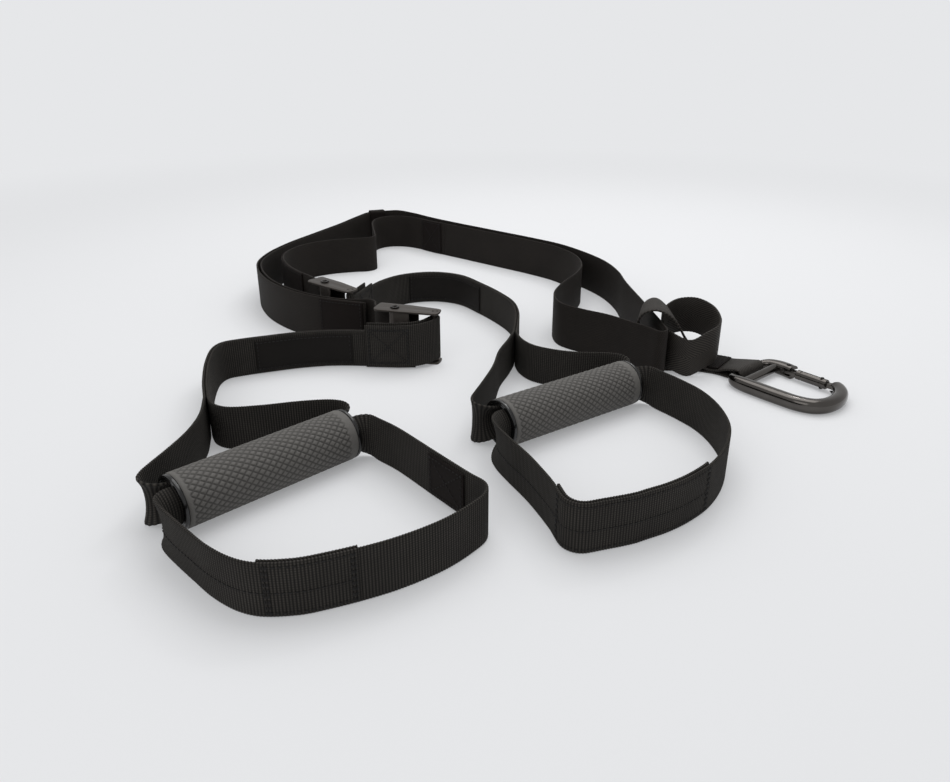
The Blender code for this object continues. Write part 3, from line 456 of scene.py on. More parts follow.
def closed_shell(data: Mesh) -> None:
    """Merge a mesh's doubled corners and turn its faces outwards.

    Args:
        data: The mesh, changed in place.
    """
    work = bmesh.new()
    work.from_mesh(data)
    bmesh.ops.remove_doubles(work, verts=work.verts, dist=MERGE)
    bmesh.ops.recalc_face_normals(work, faces=work.faces)
    work.to_mesh(data)
    work.free()


def solid_mesh(name: str, points: Rows, faces: list, weave: Rows | None = None) -> Mesh:
    """Make a mesh with its faces pointing outwards.

    Args:
        name: Mesh name.
        points: Corner places, one row each.
        faces: Corner numbers of each face.
        weave: Run and place across of every face corner, in metres.

    Returns:
        The mesh.
    """
    data = bpy.data.meshes.new(name)
    data.from_pydata(points.tolist(), [], faces)
    if weave is not None:
        data.uv_layers.new(name=WEAVE_MAP).data.foreach_set("uv", weave.ravel())
    closed_shell(data)
    data.polygons.foreach_set("use_smooth", [True] * len(data.polygons))
    return data


def ring_faces(rings: int, count: int, closed: bool) -> list:
    """Faces of a skin over rings of corners.

    Args:
        rings: Number of rings.
        count: Corners in each ring.
        closed: Whether the last ring joins the first.

    Returns:
        Corner numbers of each face, ring by ring.
    """
    faces = []
    for i in range(rings if closed else rings - 1):
        ahead = (i + 1) % rings
        for j in range(count):
            k = (j + 1) % count
            faces.append((i * count + j, i * count + k, ahead * count + k, ahead * count + j))
    return faces


def end_faces(rings: int, count: int) -> list:
    """Faces that close the first and the last ring of an open skin."""
    last = (rings - 1) * count
    return [list(range(count)), [last + k for k in range(count)]]


def baked(obj: Object, name: str) -> Mesh:
    """Evaluate an object's modifiers into a plain mesh and drop the object.

    Args:
        obj: Object with the modifiers.
        name: Name of the mesh.

    Returns:
        The mesh.
    """
    bpy.context.view_layer.update()
    graph = bpy.context.evaluated_depsgraph_get()
    data = bpy.data.meshes.new_from_object(obj.evaluated_get(graph))
    data.name = name
    bpy.data.objects.remove(obj, do_unlink=True)
    return data


def sized_tree(name: str, sizes: dict[str, float]) -> tuple[Tree, Node, dict[str, str]]:
    """Start a Geometry Nodes tree that takes a shape and named sizes.

    Args:
        name: Name of the tree.
        sizes: Size inputs and their values.

    Returns:
        The tree, its input node, and each size's socket identifier.
    """
    tree = bpy.data.node_groups.new(name, "GeometryNodeTree")
    tree.interface.new_socket("Geometry", in_out="INPUT", socket_type="NodeSocketGeometry")
    keys = {}
    for label in sizes:
        socket = tree.interface.new_socket(label, in_out="INPUT", socket_type="NodeSocketFloat")
        keys[label] = socket.identifier
    tree.interface.new_socket("Geometry", in_out="OUTPUT", socket_type="NodeSocketGeometry")
    return tree, tree.nodes.new("NodeGroupInput"), keys


def grown(name: str, data: Mesh, tree: Tree, keys: dict[str, str], sizes: dict[str, float]) -> Mesh:
    """Run a Geometry Nodes tree on a mesh and return the plain result.

    Args:
        name: Name of the result.
        data: Mesh that the tree starts from.
        tree: The tree.
        keys: Socket identifier of each size.
        sizes: Value of each size.

    Returns:
        The realised mesh.
    """
    carrier = bpy.data.objects.new(name, data)
    bpy.context.scene.collection.objects.link(carrier)
    step = carrier.modifiers.new("grow", "NODES")
    step.node_group = tree
    for label, value in sizes.items():
        step[keys[label]] = value
    return baked(carrier, name)


def smooth_rows(points: list, steps: int = 12) -> Rows:
    """Sample a centripetal curve through the points.

    Args:
        points: Places with a fourth value each, the curl.
        steps: Samples for each span.

    Returns:
        Rows of x, y, z and curl.
    """
    rows = np.array([tuple(p) for p in points])
    rows = np.vstack((rows[0] * 2.0 - rows[1], rows, rows[-1] * 2.0 - rows[-2]))
    found = []
    for i in range(1, len(rows) - 2):
        a, b, c, d = rows[i - 1:i + 3]
        gaps = [max(np.linalg.norm((q - p)[:3]), LAY_GAP) for p, q in ((a, b), (b, c), (c, d))]
        t1, t2, t3 = np.cumsum(np.sqrt(gaps))
        t = (t1 + (t2 - t1) * np.arange(steps) / steps)[:, None]
        a1 = a * (t1 - t) / t1 + b * t / t1
        a2 = b * (t2 - t) / (t2 - t1) + c * (t - t1) / (t2 - t1)
        a3 = c * (t3 - t) / (t3 - t2) + d * (t - t2) / (t3 - t2)
        b1 = a1 * (t2 - t) / t2 + a2 * t / t2
        b2 = a2 * (t3 - t) / (t3 - t1) + a3 * (t - t1) / (t3 - t1)
        found.append(b1 * (t2 - t) / (t2 - t1) + b2 * (t - t1) / (t2 - t1))
    return np.vstack((*found, rows[-2]))


def headings(rows: Rows, closed: bool) -> Rows:
    """Step from row to row at each row of a route.

    Args:
        rows: The route.
        closed: Whether its last row joins its first.

    Returns:
        One step for each row.
    """
    if closed:
        return np.roll(rows, -1, axis=0) - np.roll(rows, 1, axis=0)
    return np.gradient(rows, axis=0)


def plan_sides(rows: Rows, closed: bool = False) -> Rows:
    """Unit vectors to the left of a route, in plan.

    Args:
        rows: The route.
        closed: Whether its last row joins its first.

    Returns:
        One vector for each row.
    """
    along = headings(rows, closed)
    flat = np.stack((-along[:, 1], along[:, 0], np.zeros(len(rows))), axis=1)
    return flat / np.linalg.norm(flat, axis=1)[:, None]


def shifted(rows: Rows, distance: float) -> Rows:
    """Move a route sideways in plan, to its left for a positive distance.

    Args:
        rows: The route.
        distance: How far it moves.

    Returns:
        The moved route.
    """
    moved = rows.copy()
    moved[:, :3] += plan_sides(rows) * distance
    return moved


def run_lengths(rows: Rows) -> Rows:
    """Length along a route at each of its rows."""
    steps = np.linalg.norm(np.diff(rows[:, :3], axis=0), axis=1)
    return np.concatenate(((0.0,), np.cumsum(steps)))


def sampled(rows: Rows, runs: Rows) -> Rows:
    """Rows of a route at the given lengths."""
    lengths = run_lengths(rows)
    return np.stack([np.interp(runs, lengths, rows[:, k]) for k in range(rows.shape[1])], axis=1)


def part_of(rows: Rows, start: float, end: float) -> Rows:
    """Stretch of a route between two shares of its length.

    Args:
        rows: The route.
        start: Share where the stretch starts.
        end: Share where it ends.

    Returns:
        Rows of the stretch.
    """
    lengths = run_lengths(rows)
    low, high = lengths[-1] * start, lengths[-1] * end
    inside = lengths[(lengths > low + BUTT_GAP) & (lengths < high - BUTT_GAP)]
    return sampled(rows, np.concatenate(((low,), inside, (high,))))


def evened(rows: Rows, spacing: float, ease: float) -> Rows:
    """Resample a route at an even spacing and ease its small corners.

    Args:
        rows: The route.
        spacing: Distance between the new rows.
        ease: Length over which corners are eased.

    Returns:
        The new rows; the ends stay where they were.
    """
    total = run_lengths(rows)[-1]
    even = sampled(rows, np.linspace(0.0, total, max(int(round(total / spacing)), 4) + 1))
    reach = min(int(ease / spacing), len(even) // 4)
    if reach < 1:
        return even
    weights = np.hanning(reach * 2 + 3)[1:-1]
    weights /= weights.sum()
    before = 2.0 * even[0] - even[reach:0:-1]
    after = 2.0 * even[-1] - even[-2:-reach - 2:-1]
    padded = np.vstack((before, even, after))
    return np.stack([np.convolve(padded[:, k], weights, "valid") for k in range(even.shape[1])], axis=1)


def ahead_of(heading: float) -> Rows:
    """Level direction of a heading."""
    return np.array((math.cos(heading), math.sin(heading), 0.0))


def left_of(ahead: Rows) -> Rows:
    """Level direction to the left of another."""
    return np.array((-ahead[1], ahead[0], 0.0))


def level_directions(turns: Rows) -> Rows:
    """Level directions of several headings, one row each."""
    return np.stack((np.cos(turns), np.sin(turns), turns * 0.0), axis=1)


@dataclass
class Band:
    """One length of webbing along rows of x, y, z and curl; it stands on its edge unless across is given."""

    name: str
    rows: Rows
    width: float
    thick: float
    finish: WovenBand
    across: Rows | None = None
    closed: bool = False
    spacing: float = 1.5 * MM
    ease: float = 4.0 * MM
    cross: int = 4
    rib_depth: float = 0.0
    edge_depth: float = 0.0
    rests_on: tuple[str, ...] = ()
    held: str = "laid"
    runs: Rows = field(init=False)
    facing: Rows = field(init=False)

    def __post_init__(self) -> None:
        """Even out the route and find the directions across it and out of its face."""
        if self.across is None:
            if not self.closed:
                self.rows = evened(self.rows, self.spacing, self.ease)
            self.across = np.tile(UP, (len(self.rows), 1))
            self.facing = plan_sides(self.rows, self.closed)
        else:
            out = np.cross(headings(self.rows, self.closed)[:, :3], self.across)
            self.facing = out / np.linalg.norm(out, axis=1)[:, None]
        self.runs = run_lengths(self.rows)

    @property
    def length(self) -> float:
        """Length along the middle of the band.

        Returns:
            The length.
        """
        if self.closed:
            return float(self.runs[-1] + np.linalg.norm((self.rows[0] - self.rows[-1])[:3]))
        return float(self.runs[-1])

    def profile(self) -> tuple[Rows, Rows, Rows]:
        """Outline across the band.

        Returns:
            Place, side and share of selvedge of each corner.
        """
        half = (self.width - self.thick) / 2.0
        face = np.linspace(-half, half, self.cross + 1)
        turns = np.radians((50.0, 0.0, -50.0))
        edge = np.cos(turns) * self.thick / 2.0
        place = np.concatenate((face, half + edge, face[::-1], -half - edge))
        flat = np.ones(self.cross + 1)
        side = np.concatenate((flat, np.sin(turns), -flat, -np.sin(turns)))
        lip = np.concatenate((flat * 0.0, np.cos(turns), flat * 0.0, -np.cos(turns)))
        return place, side, lip

    def mesh(self) -> Mesh:
        """Skin the band with its thickness, rounded selvedges and weft ribs.

        Returns:
            The mesh.
        """
        place, side, lip = self.profile()
        dip = 0.5 - 0.5 * np.cos(math.tau * self.runs / self.finish.rib)
        s = place[None, :] - self.edge_depth * dip[:, None] * lip[None, :]
        t = side[None, :] * (self.thick / 2.0 - self.rib_depth * dip[:, None])
        curl = self.rows[:, 3:4]
        bent = np.abs(curl) * self.width > FLAT_CURL
        safe = np.where(bent, curl, 1.0)
        lean = np.where(bent, curl * s, 0.0)
        up = np.where(bent, np.sin(safe * s) / safe, s) - t * np.sin(lean)
        out = np.where(bent, (1.0 - np.cos(safe * s)) / safe, 0.0) + t * np.cos(lean)
        spots = self.rows[:, None, :3] - MIDDLE
        spots = spots + self.across[:, None, :] * up[..., None] + self.facing[:, None, :] * out[..., None]
        count, ring = s.shape
        faces = ring_faces(count, ring, self.closed)
        weave = self.weave_map(place)
        if not self.closed:
            start, stop = end_faces(count, ring)
            faces += [start[::-1], stop]
            start_map = np.stack((place * 0.0, place), axis=1)[::-1]
            stop_map = np.stack((place * 0.0 + self.length, place), axis=1)
            weave = np.vstack((weave, start_map, stop_map))
        return solid_mesh(self.name, spots.reshape(-1, 3), faces, weave)

    def weave_map(self, place: Rows) -> Rows:
        """Run and place across of each face corner, for faces ring by ring.

        Args:
            place: Place across of each corner of a ring.

        Returns:
            One row for each face corner.
        """
        spans = len(self.runs) if self.closed else len(self.runs) - 1
        shape = (spans, len(place))
        near = np.broadcast_to(self.runs[:spans, None], shape)
        far = np.broadcast_to(np.append(self.runs[1:], self.length)[:spans, None], shape)
        here = np.broadcast_to(place, shape)
        onward = np.broadcast_to(np.roll(place, -1), shape)
        return np.stack((near, here, near, onward, far, onward, far, here), axis=-1).reshape(-1, 2)

    def spot(self, run: float, place: float, side: float, lift: float) -> Rows:
        """Place on a face of the band.

        Args:
            run: Length along the band.
            place: Distance from its middle line.
            side: 1 for the face on its left, -1 for the other.
            lift: Height above the face.

        Returns:
            The place in the frame.
        """
        if run < 0.0:
            run += self.length
        centre = np.array([np.interp(run, self.runs, self.rows[:, k]) for k in range(3)])
        across = np.array([np.interp(run, self.runs, self.across[:, k]) for k in range(3)])
        out = np.array([np.interp(run, self.runs, self.facing[:, k]) for k in range(3)])
        return centre - MIDDLE + across * place + out * side * (self.thick / 2.0 + lift)

    def build(self) -> None:
        """Make the piece and let it stand for the node of its name."""
        node = self.name.removesuffix("_cloth")
        made = finished_piece(self.name, self.mesh(), self.finish, "webbing", node)


@dataclass
class Stitching:
    """Sewing thread laid along lines, one small bar for each stitch."""

    name: str
    pitch: float = 3.0 * MM
    bar: float = 2.2 * MM
    thread: float = 0.36 * MM
    # Distance between the samples of a line, and the share of its radius by which a thread stands clear
    sample: float = 1.0 * MM
    clear_share: float = 0.35
    lines: list = field(default_factory=list)

    def line(self, band: Band, corners: list, side: float) -> None:
        """Sew through corners on a band's face.

        Args:
            band: The band sewn through.
            corners: Run and place of each corner, in metres.
            side: Face that shows the thread.
        """
        lift = self.thread * self.clear_share
        for (r0, p0), (r1, p1) in zip(corners, corners[1:]):
            span = math.hypot(r1 - r0, p1 - p0)
            steps = max(int(span / self.sample), 2)
            shares = np.linspace(0.0, 1.0, steps + 1)
            self.lines.append([
                band.spot(r0 + (r1 - r0) * k, p0 + (p1 - p0) * k, side, lift) for k in shares
            ])

    def box(self, band: Band, start: float, end: float, inset: float, side: float, crossed: bool) -> None:
        """Sew a box, with its two diagonals where it is crossed.

        Args:
            band: The band sewn through.
            start: Run of the box's near end.
            end: Run of its far end.
            inset: Distance from the band's edges.
            side: Face that shows the thread.
            crossed: Whether it has its diagonals.
        """
        high = band.width / 2.0 - inset
        corners = [(start, -high), (end, -high), (end, high), (start, high), (start, -high)]
        self.line(band, corners, side)
        if crossed:
            self.line(band, [(start, -high), (end, high)], side)
            self.line(band, [(start, high), (end, -high)], side)

    def build(self) -> None:
        """Grow a stitch at every pitch along the lines."""
        points = np.vstack([np.array(line) for line in self.lines])
        edges = []
        first = 0
        for line in self.lines:
            edges += [(first + k, first + k + 1) for k in range(len(line) - 1)]
            first += len(line)
        data = bpy.data.meshes.new(self.name)
        data.from_pydata(points.tolist(), edges, [])
        sizes = {"Stitch Pitch": self.pitch, "Stitch Length": self.bar, "Thread Radius": self.thread}
        tree, source, keys = sized_tree("sewing_thread", sizes)
        curve = add_node(tree, "GeometryNodeMeshToCurve", {"Mesh": source.outputs["Geometry"]})
        paced = add_node(
            tree,
            "GeometryNodeResampleCurve",
            {"Curve": curve, "Length": source.outputs["Stitch Pitch"]},
            mode="LENGTH",
        )
        spots = add_node(tree, "GeometryNodeCurveToPoints", {"Curve": paced}, mode="EVALUATED")
        turn = add_node(
            tree, "FunctionNodeAlignRotationToVector", {"Vector": spots.outputs["Tangent"]}, axis="Z"
        )
        half = add_node(tree, MATH, {0: source.outputs["Stitch Length"], 1: 0.5}, operation="MULTIPLY")
        scale = add_node(
            tree,
            "ShaderNodeCombineXYZ",
            {0: source.outputs["Thread Radius"], 1: source.outputs["Thread Radius"], 2: half},
        )
        bead = add_node(tree, "GeometryNodeMeshUVSphere", {"Segments": 6, "Rings": 5, "Radius": 1.0})
        placed = add_node(
            tree,
            "GeometryNodeInstanceOnPoints",
            {
                "Points": spots.outputs["Points"],
                "Instance": bead.outputs["Mesh"],
                "Rotation": turn,
                "Scale": scale,
            },
        )
        real = add_node(tree, "GeometryNodeRealizeInstances", {"Geometry": placed})
        smooth = add_node(tree, "GeometryNodeSetShadeSmooth", {"Geometry": real})
        dyed = add_node(
            tree, "GeometryNodeSetMaterial", {"Geometry": smooth, "Material": FINISHES.of(THREAD)}
        )
        add_node(tree, "NodeGroupOutput", {0: dyed})
        finished_piece(self.name, grown(self.name, data, tree, keys, sizes), THREAD, "webbing")


def eased_corners(corners: list, radius: float, steps: int = 4) -> list:
    """Round the corners of a closed outline.

    Args:
        corners: Points in the outline's own plane.
        radius: Most that a corner is cut back.
        steps: Points along each rounded corner.

    Returns:
        The rounded outline.
    """
    found = []
    count = len(corners)
    for k in range(count):
        here = Vector(corners[k])
        before = Vector(corners[k - 1]) - here
        after = Vector(corners[(k + 1) % count]) - here
        one = here + before.normalized() * min(radius, before.length * MOST_EASED)
        two = here + after.normalized() * min(radius, after.length * MOST_EASED)
        for j in range(steps + 1):
            share = j / steps
            spot = one.lerp(here, share).lerp(here.lerp(two, share), share)
            found.append((spot.x, spot.y))
    return found


def turned_mesh(name: str, profile: list, place: Matrix, sides: int = 64) -> Mesh:
    """Body of revolution about local x, from a closed outline of (radius, run).

    Args:
        name: Mesh name.
        profile: Corners of the outline.
        place: Matrix that puts the body in the frame.
        sides: Corners round the axis.

    Returns:
        The mesh.
    """
    turns = np.arange(sides) * math.tau / sides
    radius = np.array([p[0] for p in profile])
    run = np.array([p[1] for p in profile])
    points = np.stack(
        (
            np.broadcast_to(run, (sides, len(run))),
            radius * np.cos(turns)[:, None],
            radius * np.sin(turns)[:, None],
        ),
        axis=-1,
    ).reshape(-1, 3)
    data = solid_mesh(name, points, ring_faces(sides, len(profile), closed=True))
    data.transform(place)
    return data


def plate_mesh(
    name: str, outline: list, thick: float, place: Matrix, holes: tuple = (), edge: float = 0.3 * MM
) -> Mesh:
    """Flat plate with rolled edges.

    Args:
        name: Mesh name.
        outline: Corners in local x and y.
        thick: Thickness along local z, half of it on either side.
        place: Matrix that puts the plate in the frame.
        holes: Outlines cut through it.
        edge: Radius of its edges.

    Returns:
        The mesh.
    """
    flat = bpy.data.curves.new(name, "CURVE")
    flat.dimensions = "2D"
    flat.fill_mode = "BOTH"
    flat.extrude = thick / 2.0 - edge
    flat.bevel_depth = edge
    flat.bevel_resolution = 2
    flat.offset = -edge
    for corners in (outline, *holes):
        line = flat.splines.new("POLY")
        line.points.add(len(corners) - 1)
        for point, (x, y) in zip(line.points, corners):
            point.co = (x, y, 0.0, 1.0)
        line.use_cyclic_u = True
    drawn = bpy.data.objects.new(name, flat)
    bpy.context.scene.collection.objects.link(drawn)
    data = baked(drawn, name)
    closed_shell(data)
    data.transform(place)
    return data


def swept_mesh(name: str, rows: Rows, place: Matrix, sides: int = 24, square: float = 2.0) -> Mesh:
    """Rod swept along a route; the fourth value of a row is its radius.

    Args:
        name: Mesh name.
        rows: Places and radii, in the part's own axes.
        place: Matrix that puts the rod in the frame.
        sides: Corners round the rod.
        square: 2 for a round rod, more for a flatter one.

    Returns:
        The mesh.
    """
    along = np.gradient(rows[:, :3], axis=0)
    along /= np.linalg.norm(along, axis=1)[:, None]
    flat = np.cross(UP, along)
    flat /= np.linalg.norm(flat, axis=1)[:, None]
    high = np.cross(along, flat)
    turns = np.arange(sides) * math.tau / sides
    c, s = np.cos(turns), np.sin(turns)
    wide = np.sign(c) * np.abs(c) ** (2.0 / square)
    tall = np.sign(s) * np.abs(s) ** (2.0 / square)
    points = rows[:, None, :3] + rows[:, None, 3:4] * (
        flat[:, None, :] * wide[None, :, None] + high[:, None, :] * tall[None, :, None]
    )
    faces = ring_faces(len(rows), sides, closed=False) + end_faces(len(rows), sides)
    data = solid_mesh(name, points.reshape(-1, 3), faces)
    data.transform(place)
    return data


def joined(name: str, meshes: list) -> Mesh:
    """Put several closed shells in one mesh.

    Args:
        name: Mesh name.
        meshes: The shells, which are removed.

    Returns:
        The mesh.
    """
    work = bmesh.new()
    for data in meshes:
        work.from_mesh(data)
    made = bpy.data.meshes.new(name)
    work.to_mesh(made)
    work.free()
    for data in meshes:
        bpy.data.meshes.remove(data)
    made.polygons.foreach_set("use_smooth", [True] * len(made.polygons))
    return made


def creased(data: Mesh, degrees: float = 35.0) -> Mesh:
    """Keep a mesh's hard edges hard under smooth faces."""
    data.set_sharp_from_angle(angle=math.radians(degrees))
    return data


def ring_points(x: float, y: float, radius: float, count: int = 32) -> list:
    """Corners of a circle."""
    turns = [math.tau * k / count for k in range(count)]
    return [(x + radius * math.cos(t), y + radius * math.sin(t)) for t in turns]


def rectangle(x0: float, y0: float, x1: float, y1: float) -> list:
    """Corners of a rectangle between two opposite corners."""
    return [(x0, y0), (x1, y0), (x1, y1), (x0, y1)]


def rod_outline(radius: float, half: float, ease: float) -> list:
    """Outline of a straight rod, eased at both ends, that turned_mesh turns about its axis.

    Args:
        radius: Radius of the rod.
        half: Half of its length.
        ease: How far a corner is cut back.

    Returns:
        Corners as radius and run.
    """
    return [
        (0.0, -half), (radius - ease, -half), (radius, ease - half), (radius, half - ease),
        (radius - ease, half), (0.0, half),
    ]


@dataclass
class Grip:
    """One hand grip: knurled rubber sleeve on a plastic tube with a flange at each end."""

    mark: str
    x: float
    y: float
    heading: float
    length: float = 114.0 * MM
    radius: float = 16.0 * MM
    tube: float = 13.5 * MM
    knurl_depth: float = 0.6 * MM
    knurl_length: float = 5.2 * MM
    knurl_count: float = 24.0
    # Where the knurl's studs rise from groove to crest, as shares of half a lozenge
    stud_shares: tuple[float, float] = (0.02, 0.24)
    # Plain end on the right, where the knurl fades over these shares of it, and the plain rim on the left
    collar: float = 5.0 * MM
    fade_shares: tuple[float, float] = (0.8, 1.4)
    rim: tuple[float, float] = (2.0 * MM, 3.2 * MM)
    lip: float = 1.2 * MM
    lip_drop: float = 0.6 * MM
    flange: float = 2.4 * MM
    flange_gap: float = 0.2 * MM
    skin_grid: tuple[int, int] = (252, 241)

    @property
    def along(self) -> Rows:
        """Direction of the axis."""
        return ahead_of(self.heading)

    @property
    def centre(self) -> Rows:
        """Middle of the axis, before the part is centred."""
        return np.array((self.x * LAYOUT, self.y * LAYOUT, self.radius))

    def station(self, along: float, across: float, curl: float) -> tuple:
        """Row of webbing beside or inside the bore."""
        spot = self.centre + self.along * along + left_of(self.along) * across
        return (*spot, curl / CURL_RADIUS)

    def place(self) -> Matrix:
        """Matrix from the grip's own axes, x along it, to the frame."""
        return Matrix.Translation(self.centre - MIDDLE) @ Matrix.Rotation(self.heading, 4, "Z")

    def grooves(self, tree: Tree, out: Sockets, parts: Sockets) -> Node:
        """Lozenge knurl between the grip's plain ends.

        Args:
            tree: Tree of the sleeve.
            out: Its size sockets.
            parts: Sockets of the flat skin's place: run along the grip, and share of a turn.

        Returns:
            Node that is 1 in a groove and 0 on a stud.
        """
        run = add_node(tree, MATH, {0: parts[0], 1: out["Knurl Length"]}, operation="DIVIDE")
        lane = add_node(tree, MATH, {0: parts[1], 1: out["Knurl Count"]}, operation="MULTIPLY")
        edges = []
        for mixing in ("ADD", "SUBTRACT"):
            mixed = add_node(tree, MATH, {0: run, 1: lane}, operation=mixing)
            edges.append(add_node(tree, MATH, {0: mixed, 1: 0.5}, operation="PINGPONG"))
        near = add_node(tree, MATH, {0: edges[0], 1: edges[1]}, operation="MINIMUM")
        right, left = self.end_distances(tree, out, parts)
        faded = add_node(tree, MATH, {0: right, 1: out["Plain Collar"]}, operation="DIVIDE")
        rises = []
        for value, (low, high) in ((near, self.stud_shares), (faded, self.fade_shares), (left, self.rim)):
            reach = {0: value, 1: low, 2: high}
            rises.append(add_node(tree, RANGE, reach, interpolation_type="SMOOTHSTEP"))
        stud, fade, rim = rises
        mask = add_node(tree, MATH, {0: fade, 1: rim}, operation="MULTIPLY")
        low = add_node(tree, MATH, {0: 1.0, 1: stud}, operation="SUBTRACT")
        return add_node(tree, MATH, {0: low, 1: mask}, operation="MULTIPLY")

    def end_distances(self, tree: Tree, out: Sockets, parts: Sockets) -> tuple[Node, Node]:
        """Measure how far a place on the sleeve is from its ends.

        Args:
            tree: Tree of the sleeve.
            out: Its size sockets.
            parts: Sockets of the flat skin's place.

        Returns:
            Node of the distance to the right end, and node of that to the left end.
        """
        half = add_node(tree, MATH, {0: out["Sleeve Length"], 1: 0.5}, operation="MULTIPLY")
        right = add_node(tree, MATH, {0: half, 1: parts[0]}, operation="SUBTRACT")
        left = add_node(tree, MATH, {0: half, 1: parts[0]}, operation="ADD")
        return right, left

    def rolled_spot(self, tree: Tree, out: Sockets, parts: Sockets, groove: Node) -> Node:
        """Roll the flat skin up, with its grooves sunk and its ends rounded down.

        Args:
            tree: Tree of the sleeve.
            out: Its size sockets.
            parts: Sockets of the flat skin's place: run along the grip, and share of a turn.
            groove: Node that is 1 in a groove.

        Returns:
            Node of the place on the sleeve.
        """
        dip = add_node(tree, MATH, {0: groove, 1: out["Knurl Depth"]}, operation="MULTIPLY")
        right, left = self.end_distances(tree, out, parts)
        end = add_node(tree, MATH, {0: left, 1: right}, operation="MINIMUM")
        lip = add_node(tree, RANGE, {0: end, 1: self.lip, 2: 0.0})
        drop = add_node(tree, MATH, {0: lip, 1: 2.0}, operation="POWER")
        fall = add_node(tree, MATH, {0: drop, 1: self.lip_drop, 2: dip}, operation="MULTIPLY_ADD")
        reach = add_node(tree, MATH, {0: out["Sleeve Radius"], 1: fall}, operation="SUBTRACT")
        turn = add_node(tree, MATH, {0: parts[1], 1: math.tau}, operation="MULTIPLY")
        cosine = add_node(tree, MATH, {0: turn}, operation="COSINE")
        sine = add_node(tree, MATH, {0: turn}, operation="SINE")
        y = add_node(tree, MATH, {0: reach, 1: cosine}, operation="MULTIPLY")
        z = add_node(tree, MATH, {0: reach, 1: sine}, operation="MULTIPLY")
        return add_node(tree, "ShaderNodeCombineXYZ", {0: parts[0], 1: y, 2: z})

    def sleeve(self) -> None:
        """Grow the knurled skin, then close it to the inner wall."""
        sizes = {
            "Sleeve Length": self.length - (self.flange + self.flange_gap) * 2.0,
            "Sleeve Radius": self.radius,
            "Knurl Depth": self.knurl_depth,
            "Knurl Length": self.knurl_length,
            "Knurl Count": self.knurl_count,
            "Plain Collar": self.collar,
        }
        tree, source, keys = sized_tree("knurled_sleeve", sizes)
        out = source.outputs
        columns, rows = self.skin_grid
        grid = add_node(
            tree,
            "GeometryNodeMeshGrid",
            {"Size X": out["Sleeve Length"], "Size Y": 1.0, "Vertices X": columns, "Vertices Y": rows},
        )
        here = add_node(tree, "GeometryNodeInputPosition", {})
        parts = add_node(tree, "ShaderNodeSeparateXYZ", {0: here}).outputs
        groove = self.grooves(tree, out, parts)
        spot = self.rolled_spot(tree, out, parts, groove)
        # Height of the studs, which the rubber's colour follows: dust and painted shade in the grooves
        high = add_node(tree, MATH, {0: 1.0, 1: groove}, operation="SUBTRACT")
        kept = add_node(
            tree,
            "GeometryNodeStoreNamedAttribute",
            {"Geometry": grid, "Name": KNURL_MAP, "Value": high},
            data_type="FLOAT",
            domain="POINT",
        )
        rolled = add_node(tree, "GeometryNodeSetPosition", {"Geometry": kept, "Position": spot})
        sealed = add_node(tree, "GeometryNodeMergeByDistance", {"Geometry": rolled, "Distance": 5.0 * MERGE})
        real = add_node(tree, "GeometryNodeRealizeInstances", {"Geometry": sealed})
        dyed = add_node(tree, "GeometryNodeSetMaterial", {"Geometry": real, "Material": FINISHES.of(RUBBER)})
        add_node(tree, "NodeGroupOutput", {0: dyed})
        name = "grip_sleeve_" + self.mark
        data = grown(name, bpy.data.meshes.new(name), tree, keys, sizes)
        self.close_sleeve(data)
        data.transform(self.place())
        finished_piece(name, data, RUBBER, "grip_" + self.mark, "grip_rubber_" + self.mark)

    def close_sleeve(self, data: Mesh) -> None:
        """Turn the skin's open ends in to the tube and run the inner wall between them.

        Args:
            data: The skin's mesh, changed in place.
        """
        work = bmesh.new()
        work.from_mesh(data)
        layer = work.verts.layers.float.get(KNURL_MAP)
        rims = [edge for edge in work.edges if edge.is_boundary]
        fresh = bmesh.ops.extrude_edge_only(work, edges=rims)["geom"]
        inner = self.tube + LAY_GAP
        # The cut ends are shaded between the grooves and the studs
        shade = 0.6
        for vert in (v for v in fresh if isinstance(v, bmesh.types.BMVert)):
            scale = inner / math.hypot(vert.co.y, vert.co.z)
            vert.co = (vert.co.x, vert.co.y * scale, vert.co.z * scale)
            vert[layer] = shade
        rings = [edge for edge in work.edges if edge.is_boundary]
        bmesh.ops.bridge_loops(work, edges=rings)
        bmesh.ops.recalc_face_normals(work, faces=work.faces)
        work.to_mesh(data)
        work.free()
        data.polygons.foreach_set("use_smooth", [True] * len(data.polygons))
        creased(data, 50.0)

    def build(self) -> None:
        """Make the sleeve, the tube and the two flanges."""
        self.sleeve()
        body = "grip_" + self.mark
        half = self.length / 2.0
        setback = 0.4 * MM
        end = half - setback
        wall = [(self.tube, end), (self.tube, -end), (BORE_RADIUS, -end), (BORE_RADIUS, end)]
        tube = turned_mesh("grip_liner", eased_corners(wall, 0.3 * MM, 2), self.place())
        finished_piece("grip_liner_" + self.mark, creased(tube), GLOSS_ABS, body, "grip_tube_" + self.mark)
        proud = 0.05 * MM
        outer, inner = self.radius - self.flange_gap, self.tube + proud
        for label, side in (("left", -1.0), ("right", 1.0)):
            face, inside = (half - proud) * side, (half - self.flange) * side
            outline = [(outer, inside), (outer, face), (inner, face), (inner, inside)]
            cap = turned_mesh("flange", eased_corners(outline, 0.8 * MM), self.place())
            name = f"{label}_{self.mark}"
            finished_piece("grip_flange_" + name, creased(cap), GLOSS_ABS, body, "grip_cap_" + name)


# Side plate of the buckle, as shares of its length and of half its depth
EAR_SHARES = [
    (0.02, -0.85), (0.06, -1.0), (0.42, -0.97), (0.92, -0.76), (0.99, -0.66), (1.0, -0.1),
    (0.985, 0.60), (0.93, 0.74), (0.50, 1.0), (0.03, 1.0), (0.0, 0.85), (0.0, -0.6),
]
